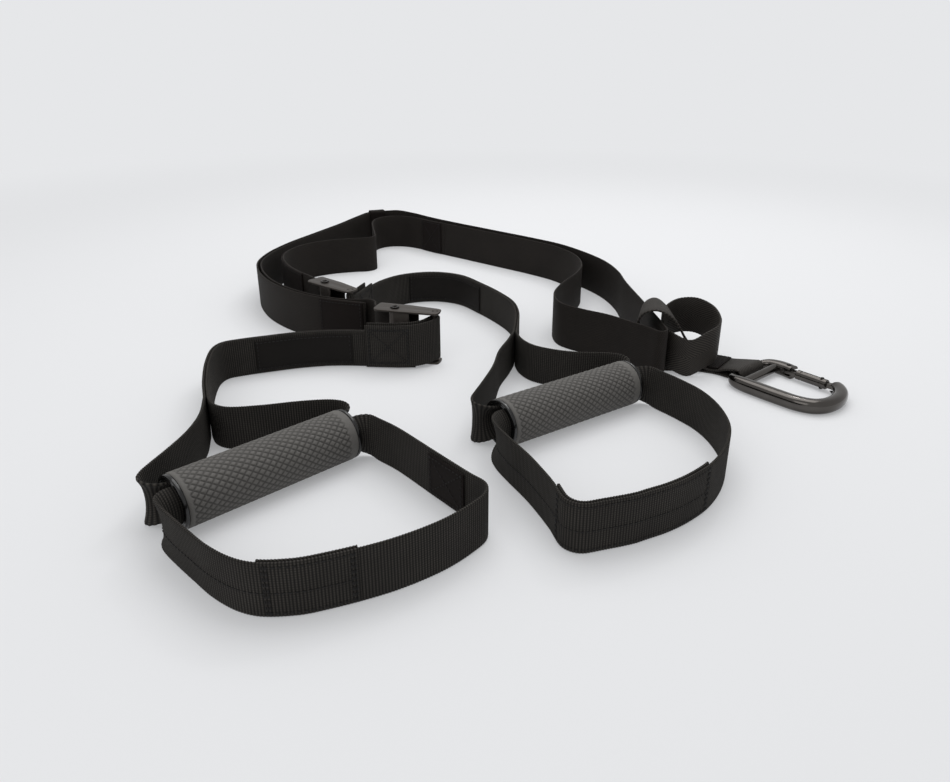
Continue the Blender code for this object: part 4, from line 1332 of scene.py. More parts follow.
# Thumb lever, as shares of the cam's radius
LEVER_SHARES = [
    (0.10, -0.90), (1.20, -0.98), (2.20, -1.12), (2.35, -1.02), (2.30, -0.78), (1.20, -0.66),
    (0.72, -0.40), (0.80, 0.10),
]


@dataclass
class CamBuckle:
    """Cam buckle on its edge: pressed frame, toothed cam lever, hollow rivet, torsion spring and rear bar."""

    mark: str
    x: float
    y: float
    heading: float
    plate: float = 1.6 * MM
    length: float = 54.0 * MM
    half: float = 9.0 * MM
    span: float = 39.4 * MM
    pin: float = 2.3 * MM
    bore: float = 1.3 * MM
    head: float = 3.8 * MM
    head_rise: float = 0.9 * MM
    play: float = 0.3 * MM
    cam: float = 6.0 * MM
    teeth: int = 5
    bar: float = 2.2 * MM
    spring_room: float = 5.8 * MM
    spring: float = 3.4 * MM
    wire: float = 0.35 * MM
    strap: float = 1.5 * MM
    pin_share: float = 0.30
    bar_share: float = 0.92
    base_share: float = 0.50
    # Part of a plate's thickness by which the base plate reaches into the side plates
    sunk_share: float = 0.6
    window_share: float = 0.3

    @property
    def middle(self) -> float:
        """Height of the buckle's middle above the floor."""
        return self.plate + self.span / 2.0

    @property
    def strap_line(self) -> float:
        """Place of the strap across the buckle."""
        return self.half - self.plate - LAY_GAP - self.strap / 2.0

    @property
    def pin_place(self) -> tuple[float, float]:
        """Run of the rivet from the jaw, and its place across the buckle."""
        return self.length * self.pin_share, self.strap_line - self.strap / 2.0 - LAY_GAP - self.cam

    @property
    def bar_run(self) -> float:
        """Run of the rear bar from the jaw."""
        return self.length * self.bar_share

    def spot(self, run: float, across: float) -> Rows:
        """Place in plan of a local point, before the part is centred.

        Args:
            run: Run from the jaw.
            across: Place to the left of the middle.

        Returns:
            The place.
        """
        ahead = ahead_of(self.heading)
        head = np.array((self.x * LAYOUT, self.y * LAYOUT, self.middle))
        return head + ahead * run + left_of(ahead) * across

    def place(self, run: float, across: float, rise: float = 0.0) -> Matrix:
        """Matrix that puts a piece at a local point."""
        spot = self.spot(run, across) - MIDDLE + UP * rise
        return Matrix.Translation(spot) @ Matrix.Rotation(self.heading, 4, "Z")

    def upright(self, run: float, across: float) -> Matrix:
        """Matrix that stands a body of revolution on the local point."""
        return self.place(run, across) @ Matrix.Rotation(-math.pi / 2.0, 4, "Y")

    def frame_piece(self) -> None:
        """Two side plates and the base plate between them."""
        outline = eased_corners([(x * self.length, y * self.half) for x, y in EAR_SHARES], 1.6 * MM)
        holes = (
            ring_points(*self.pin_place, self.pin + self.play),
            ring_points(self.bar_run, 0.0, self.bar + self.play),
        )
        rise = (self.span + self.plate) / 2.0
        shells = []
        for side in (1.0, -1.0):
            place = self.place(0.0, 0.0, rise * side)
            shells.append(plate_mesh("ear", outline, self.plate, place, holes))
        run = self.length * self.base_share
        sunk = self.plate * self.sunk_share
        high = self.span + sunk
        rim = self.window_share
        sheet = eased_corners(rectangle(0.0, -high / 2.0, run, high / 2.0), 1.0 * MM)
        window = eased_corners(rectangle(run * rim, -high * rim, run * (1.0 - rim), high * rim), 3.0 * MM)
        place = self.place(self.plate, self.half - sunk) @ Matrix.Rotation(math.pi / 2.0, 4, "X")
        shells.append(plate_mesh("base", sheet, self.plate, place, (window,)))
        data = creased(joined("buckle_shell", shells))
        name = "buckle_shell_" + self.mark
        finished_piece(name, data, DARK_NICKEL, "webbing", "buckle_frame_" + self.mark)

    def cam_piece(self) -> None:
        """Toothed cam with its thumb lever."""
        # Radius between the teeth and radius of the plain back, as shares of the cam's
        root, back = 0.84, 0.80
        start, sweep = math.radians(50.0), math.radians(80.0) / self.teeth
        polar = []
        for k in range(self.teeth):
            polar += [(root, start + sweep * k), (1.0, start + sweep * (k + 0.5))]
        polar += [(back, math.radians(degrees)) for degrees in range(132, 260, 9)]
        points = [(self.cam * r * math.cos(turn), self.cam * r * math.sin(turn)) for r, turn in polar]
        points += [(x * self.cam, y * self.cam) for x, y in LEVER_SHARES]
        high = self.span - self.play - 0.5 * MM - self.spring_room
        place = self.place(*self.pin_place, self.spring_room / 2.0)
        hole = ring_points(0.0, 0.0, self.pin + self.play)
        body = plate_mesh("cam", eased_corners(points, 0.35 * MM, 2), high, place, (hole,), 0.25 * MM)
        name = "cam_" + self.mark
        finished_piece(name, creased(body, 40.0), DARK_NICKEL, name, "cam_lever_" + self.mark)

    def rivet_piece(self) -> None:
        """Hollow rivet with a rolled head."""
        top = self.span / 2.0 + self.plate + LAY_GAP
        high = top + self.head_rise
        low = LAY_GAP * 2.0 - top
        shape = [
            (self.head, top), (self.pin, top), (self.pin, low), (self.bore, low),
            (self.bore, high - 0.8 * MM), (self.bore + self.head_rise, high), (self.head - 0.2 * MM, high),
        ]
        data = turned_mesh("rivet", eased_corners(shape, 0.35 * MM), self.upright(*self.pin_place), 40)
        name = "hollow_rivet_" + self.mark
        finished_piece(name, creased(data), BLUED_STEEL, "webbing", "cam_rivet_" + self.mark)

    def spring_piece(self) -> None:
        """Torsion spring round the rivet, below the cam."""
        coils, steps = 3, 28
        pitch = self.spring_room * 0.24
        low = self.spring_room * 0.14 - self.span / 2.0
        rows = []
        for k in range(coils * steps + 1):
            turn = math.tau * k / steps
            spot = (self.spring * math.cos(turn), self.spring * math.sin(turn), low + pitch * k / steps)
            rows.append((*spot, self.wire))
        data = swept_mesh("spring", np.array(rows), self.place(*self.pin_place), 8)
        name = "torsion_spring_" + self.mark
        finished_piece(name, data, DARK_NICKEL, "webbing", "cam_spring_" + self.mark)

    def bar_piece(self) -> None:
        """Rear bar, riveted over at both ends."""
        shape = rod_outline(self.bar, self.span / 2.0 + self.plate, 0.5 * MM)
        data = turned_mesh("rear_bar", shape, self.upright(self.bar_run, 0.0), 32)
        name = "rear_pin_" + self.mark
        finished_piece(name, creased(data), DARK_NICKEL, "webbing", "rear_bar_" + self.mark)

    def build(self) -> None:
        """Make every piece of the buckle."""
        self.frame_piece()
        self.cam_piece()
        self.rivet_piece()
        self.spring_piece()
        self.bar_piece()


# A foot loop's route has the loop's outer face on its left, and its pad lies inside, on the right
PAD_SIDE = -1.0


def on_floor(shares: list) -> list:
    """Rows of hand webbing from (x, y, curl) shares."""
    return [(x * LAYOUT, y * LAYOUT, HAND_WIDTH / 2.0, curl / CURL_RADIUS) for x, y, curl in shares]


def on_edge(shares: list) -> list:
    """Rows of the long webbing from (x, y, lift) shares."""
    return [(x * LAYOUT, y * LAYOUT, STRAP_WIDTH / 2.0 + lift * LIFT, 0.0) for x, y, lift in shares]


def through_bore(grip: Grip, side: float, curl: float) -> list:
    """Rows of hand webbing through a grip's bore.

    Args:
        grip: The grip.
        side: 1 for the back wall of the bore, -1 for its front wall.
        curl: Way that the webbing curls, 1 or -1.

    Returns:
        Rows from end to end of the grip and a little past it.
    """
    across = CURL_RADIUS * side
    half = grip.length / 2.0
    entry = half + 3.0 * MM
    stations = [(half * share, curl) for share in (-1.0, -0.5, 0.0, 0.5, 1.0)]
    stations = [(-entry, curl * 0.9)] + stations + [(entry, curl * 0.9)]
    return [grip.station(run, across, bend) for run, bend in stations]


BUNDLE_A = [
    (-0.70, -0.590, 0.0), (-0.85, -0.595, 0.0), (-1.10, -0.560, 0.0), (-1.36, -0.555, 0.0),
    (-1.60, -0.60, 0.0), (-1.85, -0.69, 0.0), (-2.02, -0.76, 0.0), (-2.12, -0.82, 0.0),
    (-2.155, -0.92, 0.0), (-2.13, -1.17, 0.0), (-2.04, -1.53, 0.0), (-1.95, -1.80, 0.0),
]
LEG_OUT_A = [
    (-1.91, -2.05, 0.0), (-1.91, -2.27, 0.0), (-1.945, -2.48, 0.0), (-1.985, -2.65, 0.0),
    (-1.995, -2.75, -0.12), (-1.975, -2.800, -0.4),
]
LEG_BACK_A = [
    (-1.058, -1.91, -0.4), (-1.08, -1.87, -0.12), (-1.16, -1.845, 0.0), (-1.34, -1.87, 0.0),
    (-1.57, -1.93, 0.0), (-1.78, -1.955, 0.0), (-1.88, -1.90, 0.0),
]
BUNDLE_B = [
    (-1.265, 0.21, 0.0), (-1.24, 0.36, 0.0), (-1.19, 0.60, 0.0), (-1.10, 0.82, 0.0), (-0.95, 1.00, 0.0),
    (-0.77, 1.09, 0.0), (-0.57, 1.10, 0.0), (-0.37, 1.00, 0.0), (-0.18, 0.73, 0.0), (-0.01, 0.43, 0.0),
    (0.09, 0.18, 0.0), (0.12, -0.08, 0.0), (0.10, -0.40, 0.0), (0.08, -0.58, 0.0),
]
LEG_OUT_B = [
    (0.02, -0.76, 0.0), (-0.05, -0.98, 0.0), (-0.10, -1.27, 0.0), (-0.17, -1.53, 0.0), (-0.225, -1.71, 0.0),
    (-0.24, -1.80, -0.12), (-0.215, -1.852, -0.4),
]
LEG_BACK_B = [
    (0.828, -1.11, -0.4), (0.812, -1.07, -0.12), (0.74, -1.035, 0.0), (0.53, -1.02, 0.0), (0.36, -0.97, 0.0),
    (0.20, -0.87, 0.0), (0.12, -0.73, 0.0),
]
FOOT_BEFORE_A = [
    (-0.955, -3.525, 0.0), (-1.03, -3.545, 0.0), (-1.20, -3.555, 0.0), (-1.31, -3.52, 0.0),
    (-1.45, -3.425, 0.0), (-1.58, -3.30, 0.0), (-1.71, -3.17, 0.0), (-1.79, -3.065, 0.15),
    (-1.805, -3.00, 0.45),
]
FOOT_AFTER_A = [
    (-0.885, -2.085, 0.45), (-0.845, -2.10, 0.15), (-0.70, -2.225, 0.0), (-0.47, -2.51, 0.0),
    (-0.26, -2.77, 0.0), (-0.175, -2.87, 0.0), (-0.175, -2.96, 0.0), (-0.24, -3.06, 0.0),
    (-0.38, -3.21, 0.0), (-0.59, -3.36, 0.0), (-0.78, -3.455, 0.0), (-0.945, -3.521, 0.0),
]
FOOT_BEFORE_B = [
    (0.655, -2.955, 0.0), (0.60, -2.985, 0.0), (0.42, -3.045, 0.0), (0.30, -3.075, 0.0), (0.225, -3.03, 0.0),
    (0.17, -2.85, 0.0), (0.07, -2.58, 0.0), (-0.03, -2.37, 0.0), (-0.085, -2.21, 0.15), (-0.085, -2.10, 0.45),
]
FOOT_AFTER_B = [
    (0.975, -1.315, 0.45), (1.015, -1.345, 0.15), (1.14, -1.51, 0.0), (1.24, -1.70, 0.0), (1.29, -1.93, 0.0),
    (1.28, -2.20, 0.0), (1.20, -2.43, 0.0), (1.07, -2.64, 0.0), (0.92, -2.79, 0.0), (0.78, -2.89, 0.0),
    (0.665, -2.950, 0.0),
]
# Legs of each tab in plan, from the rear bar down
TAB_LEGS_A = [(-0.615, -0.555), (-0.70, -0.590), (-0.85, -0.595), (-1.08, -0.563)]
TAB_LEGS_B = [(-1.265, 0.21), (-1.24, 0.36), (-1.20, 0.56)]


@dataclass
class HandSet:
    """One side's hand webbing: tab, doubled hand strap, foot loop, their pads, patches and seams.

    Shares of a stretch run along the route that carries it. A side is 1.0 on the left of that route.
    """

    mark: str
    grip: Grip
    buckle: CamBuckle
    bundle: list
    leg_out: list
    leg_back: list
    foot_before: list
    foot_after: list
    tab_legs: list
    pad_shares: tuple[float, float]
    patch_shares: tuple[float, float]
    patch_side: float
    label_shares: tuple[float, float]
    label_side: float
    width: float = HAND_WIDTH
    thick: float = HAND_THICK
    tab_width: float = 35.0 * MM
    facing: float = 1.0 * MM
    # Parts of the webbing's width that the foot patch and the label patch cover
    patch_cover: float = 0.86
    label_cover: float = 0.80

    def ribbed(self, name: str, rows: Rows, width: float, cross: int = 10, rests: tuple = ()) -> Band:
        """Hand webbing with real weft ribs and a saw-toothed selvedge.

        Args:
            name: Name of the piece.
            rows: Its route.
            width: Its width.
            cross: Steps across its face.
            rests: Pieces that it lies on.

        Returns:
            The band.
        """
        return Band(
            name, rows, width, self.thick, RIBBED_WEBBING, spacing=0.5 * MM, cross=cross,
            rib_depth=0.14 * MM, edge_depth=0.40 * MM, rests_on=rests,
        )

    def hand_strap(self, route: Rows) -> Band:
        """Doubled strap: out along the bundle, through the grip and back up.

        Args:
            route: Route of the doubled part.

        Returns:
            The band.
        """
        step = (self.thick + LAY_GAP) / 2.0
        outward = shifted(route, -step)
        inward = shifted(route, step)[::-1]
        legs = [tuple(outward[-1])] + on_floor(self.leg_out) + through_bore(self.grip, 1.0, -1.0)
        legs += on_floor(self.leg_back) + [tuple(inward[0])]
        rows = np.vstack((outward[:-1], smooth_rows(legs), inward[1:]))
        return self.ribbed(f"handle_strap_{self.mark}_cloth", rows, self.width)

    def loop_route(self) -> Rows:
        """Route of the foot loop: along the floor, through the grip and back."""
        before, after = on_floor(self.foot_before), on_floor(self.foot_after)
        return smooth_rows(before + through_bore(self.grip, -1.0, 1.0) + after)

    def foot_loop(self, route: Rows) -> Band:
        """Foot loop from its seam, once round its route.

        Args:
            route: The loop's route.

        Returns:
            The band.
        """
        seam = self.pad_shares[0]
        rows = np.vstack((part_of(route, seam, 1.0)[:-1], part_of(route, 0.0, seam)[1:]))
        return self.ribbed(f"foot_loop_{self.mark}_cloth", rows, self.width)

    def pad(self, route: Rows) -> Band:
        """The loop's other end, carried on under its seam on the inner side.

        Args:
            route: The loop's route.

        Returns:
            The band.
        """
        last = part_of(route, self.pad_shares[0], 1.0)
        first = part_of(route, 0.0, self.pad_shares[1])
        rows = shifted(np.vstack((last[:-1], first[1:])), PAD_SIDE * (self.thick + LAY_GAP))
        name = f"foot_pad_{self.mark}_cloth"
        return self.ribbed(name, rows, self.width, 6, (f"foot_loop_{self.mark}_cloth",))

    def patch(self, name: str, rows: Rows, step: float, cover: float, finish: WovenBand) -> Band:
        """Facing sewn on the webbing.

        Args:
            name: Name of the piece.
            rows: Stretch of webbing that it covers.
            step: Distance to the left of the webbing's middle.
            cover: Part of the webbing's width that it covers.
            finish: What it is made of.

        Returns:
            The band.
        """
        return Band(
            name, shifted(rows, step), self.width * cover, self.facing, finish,
            spacing=0.8 * MM, edge_depth=0.1 * MM,
        )

    def tab(self) -> Band:
        """Tab folded round the buckle's rear bar, a leg on either side of the hand strap.

        Returns:
            The band.
        """
        bar = self.buckle.spot(self.buckle.bar_run, 0.0)
        bundle = self.thick * 2.0 + LAY_GAP
        radius = bundle / 2.0 + LAY_GAP + self.thick / 2.0
        radius = max(radius, self.buckle.bar + LAY_GAP + self.thick / 2.0)
        low = self.tab_width / 2.0 + LAY_GAP
        centre = [(bar[0], bar[1], bar[2], 0.0)]
        for i, (x, y) in enumerate(self.tab_legs):
            height = bar[2] + (low - bar[2]) * (i + 1) / len(self.tab_legs)
            centre.append((x * LAYOUT, y * LAYOUT, height, 0.0))
        route = smooth_rows(centre)
        away = (route[0] - route[1])[:3]
        away /= np.linalg.norm(away)
        side = plan_sides(route)[0]
        fold = []
        for degrees in range(15, 180, 15):
            turn = math.radians(degrees)
            spot = bar + side * radius * math.cos(turn) + away * radius * math.sin(turn)
            fold.append((spot[0], spot[1], bar[2], 0.0))
        rows = np.vstack((shifted(route, radius)[::-1], np.array(fold), shifted(route, -radius)))
        band = self.ribbed(f"buckle_tab_{self.mark}_cloth", rows, self.tab_width, 6)
        band.held = "folded"
        return band

    def sew_loop(self, sewing: Stitching, loop: Band, pad: Band) -> None:
        """Sew the foot loop to its pad: a box with three rows at each end, and the loop's lining seam.

        Args:
            sewing: Thread of this side.
            loop: The foot loop.
            pad: Its pad.
        """
        inset, edge = 4.0 * MM, 2.5 * MM
        half_row = 12.5 * MM
        for band, side in ((loop, -PAD_SIDE), (pad, PAD_SIDE)):
            sewing.box(band, inset, pad.length - inset, edge, side, False)
            for k in range(3):
                end = (2.0 + k * 0.9) * MM
                for run in (end, pad.length - end):
                    sewing.line(band, [(run, -half_row), (run, half_row)], side)
        start, past, low = 5.0 * MM, 150.0 * MM, -1.5 * MM
        sewing.line(loop, [(start, low), (pad.length + past, low)], -PAD_SIDE)

    def sew_tab(self, sewing: Stitching, tab: Band) -> None:
        """Sew a box with a cross on each leg's outer face, its rows sewn three times.

        Args:
            sewing: Thread of this side.
            tab: The tab.
        """
        outer = -1.0
        for k in range(3):
            step = k * 0.55 * MM
            near, far, edge = 2.5 * MM + step, 34.0 * MM - step, 3.5 * MM + step
            for start, stop in ((near, far), (tab.length - far, tab.length - near)):
                sewing.box(tab, start, stop, edge, outer, True)

    def build(self) -> None:
        """Make the webbing, then sew it."""
        sewing = Stitching("hand_stitching_" + self.mark)
        route = smooth_rows(on_floor(self.bundle))
        strap = self.hand_strap(route)
        strap.build()
        loop_route = self.loop_route()
        loop = self.foot_loop(loop_route)
        loop.build()
        pad = self.pad(loop_route)
        pad.build()
        self.sew_loop(sewing, loop, pad)
        side = self.patch_side
        step = (self.thick + self.facing) / 2.0 + LAY_GAP
        rows = part_of(loop_route, *self.patch_shares)
        name = f"foot_patch_{self.mark}_cloth"
        inner = self.patch(name, rows, step * side, self.patch_cover, FACING_TAPE)
        inner.rests_on = (loop.name,)
        inner.build()
        sewing.box(inner, 2.0 * MM, inner.length - 2.0 * MM, 2.0 * MM, side, True)
        side = self.label_side
        step = (self.thick * 2.0 + LAY_GAP + self.facing) / 2.0 + LAY_GAP
        rows = part_of(route, *self.label_shares)
        name = f"label_patch_{self.mark}_cloth"
        label = self.patch(name, rows, step * side, self.label_cover, LABEL_SATIN)
        label.rests_on = (strap.name,)
        label.build()
        sewing.box(label, 1.5 * MM, label.length - 1.5 * MM, 1.5 * MM, side, False)
        tab = self.tab()
        tab.build()
        self.sew_tab(sewing, tab)
        sewing.build()


LEFT_STRAND = [
    (-1.14, -0.10, 0.0), (-1.28, -0.06, 0.0), (-1.47, 0.01, 0.0), (-1.66, 0.11, 0.0), (-1.84, 0.25, 0.0),
    (-2.00, 0.42, 0.0), (-2.14, 0.62, 0.0), (-2.28, 0.92, 0.0), (-2.35, 1.20, 0.0), (-2.33, 1.55, 0.0),
    (-2.22, 1.95, 0.0), (-2.02, 2.42, 0.0), (-1.80, 2.90, 0.2), (-1.66, 3.20, 0.7), (-1.53, 3.435, 1.0),
    (-1.36, 3.51, 1.0),
]
RIGHT_STRAND = [
    (-1.3556, 3.5118, 1.0), (-1.19, 3.545, 1.0), (-0.98, 3.41, 0.7), (-0.75, 3.21, 0.2), (-0.49, 2.98, 0.0),
    (0.00, 2.54, 0.0), (0.40, 2.18, 0.0), (0.66, 1.92, 0.0), (0.88, 1.58, 0.0), (1.04, 1.22, 0.0),
    (1.11, 0.86, 0.0), (1.12, 0.50, 0.1), (1.155, -0.05, 0.6), (1.18, -0.45, 1.0), (1.20, -0.72, 1.0),
    (1.20, -0.84, 1.0), (1.15, -0.87, 1.0), (1.08, -0.77, 0.9), (0.97, -0.61, 0.5), (0.82, -0.42, 0.2),
    (0.64, -0.27, 0.0), (0.48, -0.10, 0.0), (0.45, 0.15, 0.0), (0.54, 0.45, 0.0), (0.72, 0.82, 0.0),
    (0.80, 1.10, 0.0), (0.78, 1.45, 0.0), (0.62, 1.80, 0.0), (0.36, 2.08, 0.0), (0.02, 2.38, 0.0),
    (-0.30, 2.66, 0.0), (-0.58, 2.90, 0.0),
]
INNER_STRAND = [
    (-0.582, 2.902, 0.0), (-0.75, 3.05, 0.0), (-0.93, 3.22, 0.0), (-1.12, 3.32, 0.0), (-1.30, 3.30, 0.0),
    (-1.41, 3.18, 0.0), (-1.44, 3.00, 0.0), (-1.40, 2.70, 0.0), (-1.35, 2.42, 0.0), (-1.335, 2.28, 0.0),
    (-1.40, 2.20, 0.0), (-1.58, 2.16, 0.0), (-1.80, 2.08, 0.0), (-2.00, 1.93, 0.0), (-2.13, 1.70, 0.0),
    (-2.15, 1.42, 0.0), (-2.05, 1.12, 0.0), (-1.90, 0.86, 0.3), (-1.74, 0.64, 0.8),
]
TAIL_END = [(-1.23, -0.035, 0.3), (-1.11, -0.055, 0.6), (-1.055, -0.12, 0.8), (-1.045, -0.20, 1.0)]


@dataclass
class LongWebbing:
    """The long strap, its two adjusting ends, the keeper and the sewn sleeves."""

    buckle_a: CamBuckle
    buckle_b: CamBuckle
    width: float = STRAP_WIDTH
    thick: float = 1.5 * MM
    facing: float = 1.0 * MM
    facing_cover: float = 0.98
    # Stations in a buckle that a strap passes, as shares of the buckle's length
    jaw_shares: tuple[float, float, float] = (-0.04, 0.25, 0.62)

    def into_jaw(self, rows: list, buckle: CamBuckle) -> list:
        """Carry a strap on between the cam's teeth and the base plate.

        Args:
            rows: The strap up to the buckle.
            buckle: The buckle.

        Returns:
            The strap with its rows in the buckle.
        """
        found = [tuple(p) for p in rows]
        for share in self.jaw_shares:
            spot = buckle.spot(buckle.length * share, buckle.strap_line)
            found.append((spot[0], spot[1], buckle.middle, 0.0))
        return found

    def flat(self, name: str, rows: Rows) -> Band:
        """A length of the long webbing."""
        return Band(name + "_cloth", rows, self.width, self.thick, FLAT_WEBBING, edge_depth=0.1 * MM)

    def sleeve(self, name: str, rows: Rows, shares: tuple, side: float, under: str) -> Band:
        """Facing sewn over one side of a strap.

        Args:
            name: Name of the piece.
            rows: Route of the strap below it.
            shares: Stretch of that route.
            side: 1 for the strap's left face, -1 for the other.
            under: Node of the strap.

        Returns:
            The band.
        """
        step = (self.thick + self.facing) / 2.0 + LAY_GAP
        stretch = shifted(part_of(rows, *shares), step * side)
        return Band(
            name + "_cloth", stretch, self.width * self.facing_cover, self.facing, FACING_TAPE,
            edge_depth=0.1 * MM, rests_on=(under + "_cloth",),
        )

    def keeper(self, left: Rows) -> Band:
        """Band sewn round the two strands, a rounded loop in the upright plane.

        Args:
            left: Route of the outer strand, which ends in the keeper.

        Returns:
            The band.
        """
        stretch = part_of(left, 0.985, 1.0)
        along = (left[-1] - stretch[0])[:3]
        along[2] = 0.0
        along /= np.linalg.norm(along)
        side = left_of(along)
        half_depth = (TAIL_STEP + self.thick * 4.4 + self.facing) / 2.0
        half_high = (self.width + LAY_GAP * 2.0 + self.facing) / 2.0
        length = self.width * 0.48
        middle = left[-1][:3] - side * (TAIL_STEP / 2.0) - along * (length / 2.0)
        outline = eased_corners(rectangle(-half_depth, -half_high, half_depth, half_high), 2.4 * MM, 6)
        rows = np.array([(*(middle + side * x + UP * y), 0.0) for x, y in outline])
        return Band(
            "strap_keeper_a_cloth", rows, length, self.facing, FACING_TAPE,
            across=np.tile(along, (len(rows), 1)), closed=True, held="folded",
        )

    def build(self) -> None:
        """Make the straps, then the sleeves, the keeper and the seams."""
        left = smooth_rows(on_edge(LEFT_STRAND))
        right = smooth_rows(on_edge(RIGHT_STRAND))
        inner = smooth_rows(self.into_jaw(on_edge(INNER_STRAND), self.buckle_b))
        tail_run = shifted(part_of(left, 0.06, 1.0), -TAIL_STEP)[::-1]
        tail = smooth_rows(self.into_jaw([tuple(tail_run[-1])] + on_edge(TAIL_END), self.buckle_a))
        self.flat("main_strap_left", left).build()
        self.flat("main_strap_right", right).build()
        self.flat("main_strap_inner", inner).build()
        self.flat("adjust_strap_a", np.vstack((tail_run, tail[1:]))).build()
        sewing = Stitching("strap_stitching")
        sleeves = (
            ("strap_sleeve_a", left, (0.005, 0.095), 1.0, "main_strap_left"),
            ("strap_patch_b", inner, (0.012, 0.080), 1.0, "main_strap_inner"),
            ("strap_sleeve_b", inner, (0.66, 0.86), -1.0, "main_strap_inner"),
        )
        for name, rows, shares, side, under in sleeves:
            band = self.sleeve(name, rows, shares, side, under)
            band.build()
            sewing.box(band, 2.0 * MM, band.length - 2.0 * MM, 2.0 * MM, side, name == "strap_patch_b")
        self.keeper(left).build()
        sewing.build()


ANCHOR_LINE = [
    (1.86, -0.78), (1.805, -0.71), (1.73, -0.63), (1.62, -0.57), (1.50, -0.53), (1.38, -0.52), (1.27, -0.52),
    (1.17, -0.51), (1.09, -0.49), (1.055, -0.48),
]
RING_ROUTE = [
    (1.40, -0.775, 0.0), (1.53, -0.735, 2.0), (1.64, -0.65, 3.2), (1.69, -0.50, 4.0), (1.67, -0.32, 5.5),
    (1.57, -0.21, 6.5), (1.43, -0.19, 6.0), (1.31, -0.28, 4.5), (1.255, -0.42, 3.0), (1.245, -0.57, 1.6),
    (1.275, -0.705, 1.5),
]
# The carabiner's drawing, in its own shares: along from the end bar, across, and part of the rod's radius
SPINE = [
    (2.60, 2.32, 1.0), (1.90, 2.46, 1.0), (1.10, 2.50, 0.95), (0.45, 2.40, 0.80), (0.08, 2.08, 0.62),
    (0.0, 1.75, 0.538), (0.0, 0.0, 0.538), (0.0, -1.75, 0.538), (0.08, -2.12, 0.62), (0.45, -2.48, 0.80),
    (1.20, -2.66, 0.95), (2.60, -2.74, 1.0), (4.40, -2.80, 1.0), (5.80, -2.76, 1.0), (6.75, -2.40, 1.0),
    (7.28, -1.70, 1.0), (7.46, -0.80, 1.0), (7.38, 0.20, 1.0), (7.05, 1.10, 1.0), (6.60, 1.72, 0.95),
    (6.25, 2.02, 0.90),
]
# Rooms for the gate in the body: width, depth and middle
GATE_ROOMS = ((1.4, 1.6, 2.40, 2.30), (1.0, 2.4, 6.02, 1.90))
CROSSPIECE_LENGTH = 5.10
CROSSPIECE_SPOT = (1.15, -0.08)
# The gate, from its hinge: both ends of the bar, each flat's ends and width, and the nose pin
GATE_BAR = (0.80, 3.36)
GATE_FLATS = ((-0.25, 0.95, 0.56), (3.2, 4.1, 0.40))
NOSE_PIN = 2.90


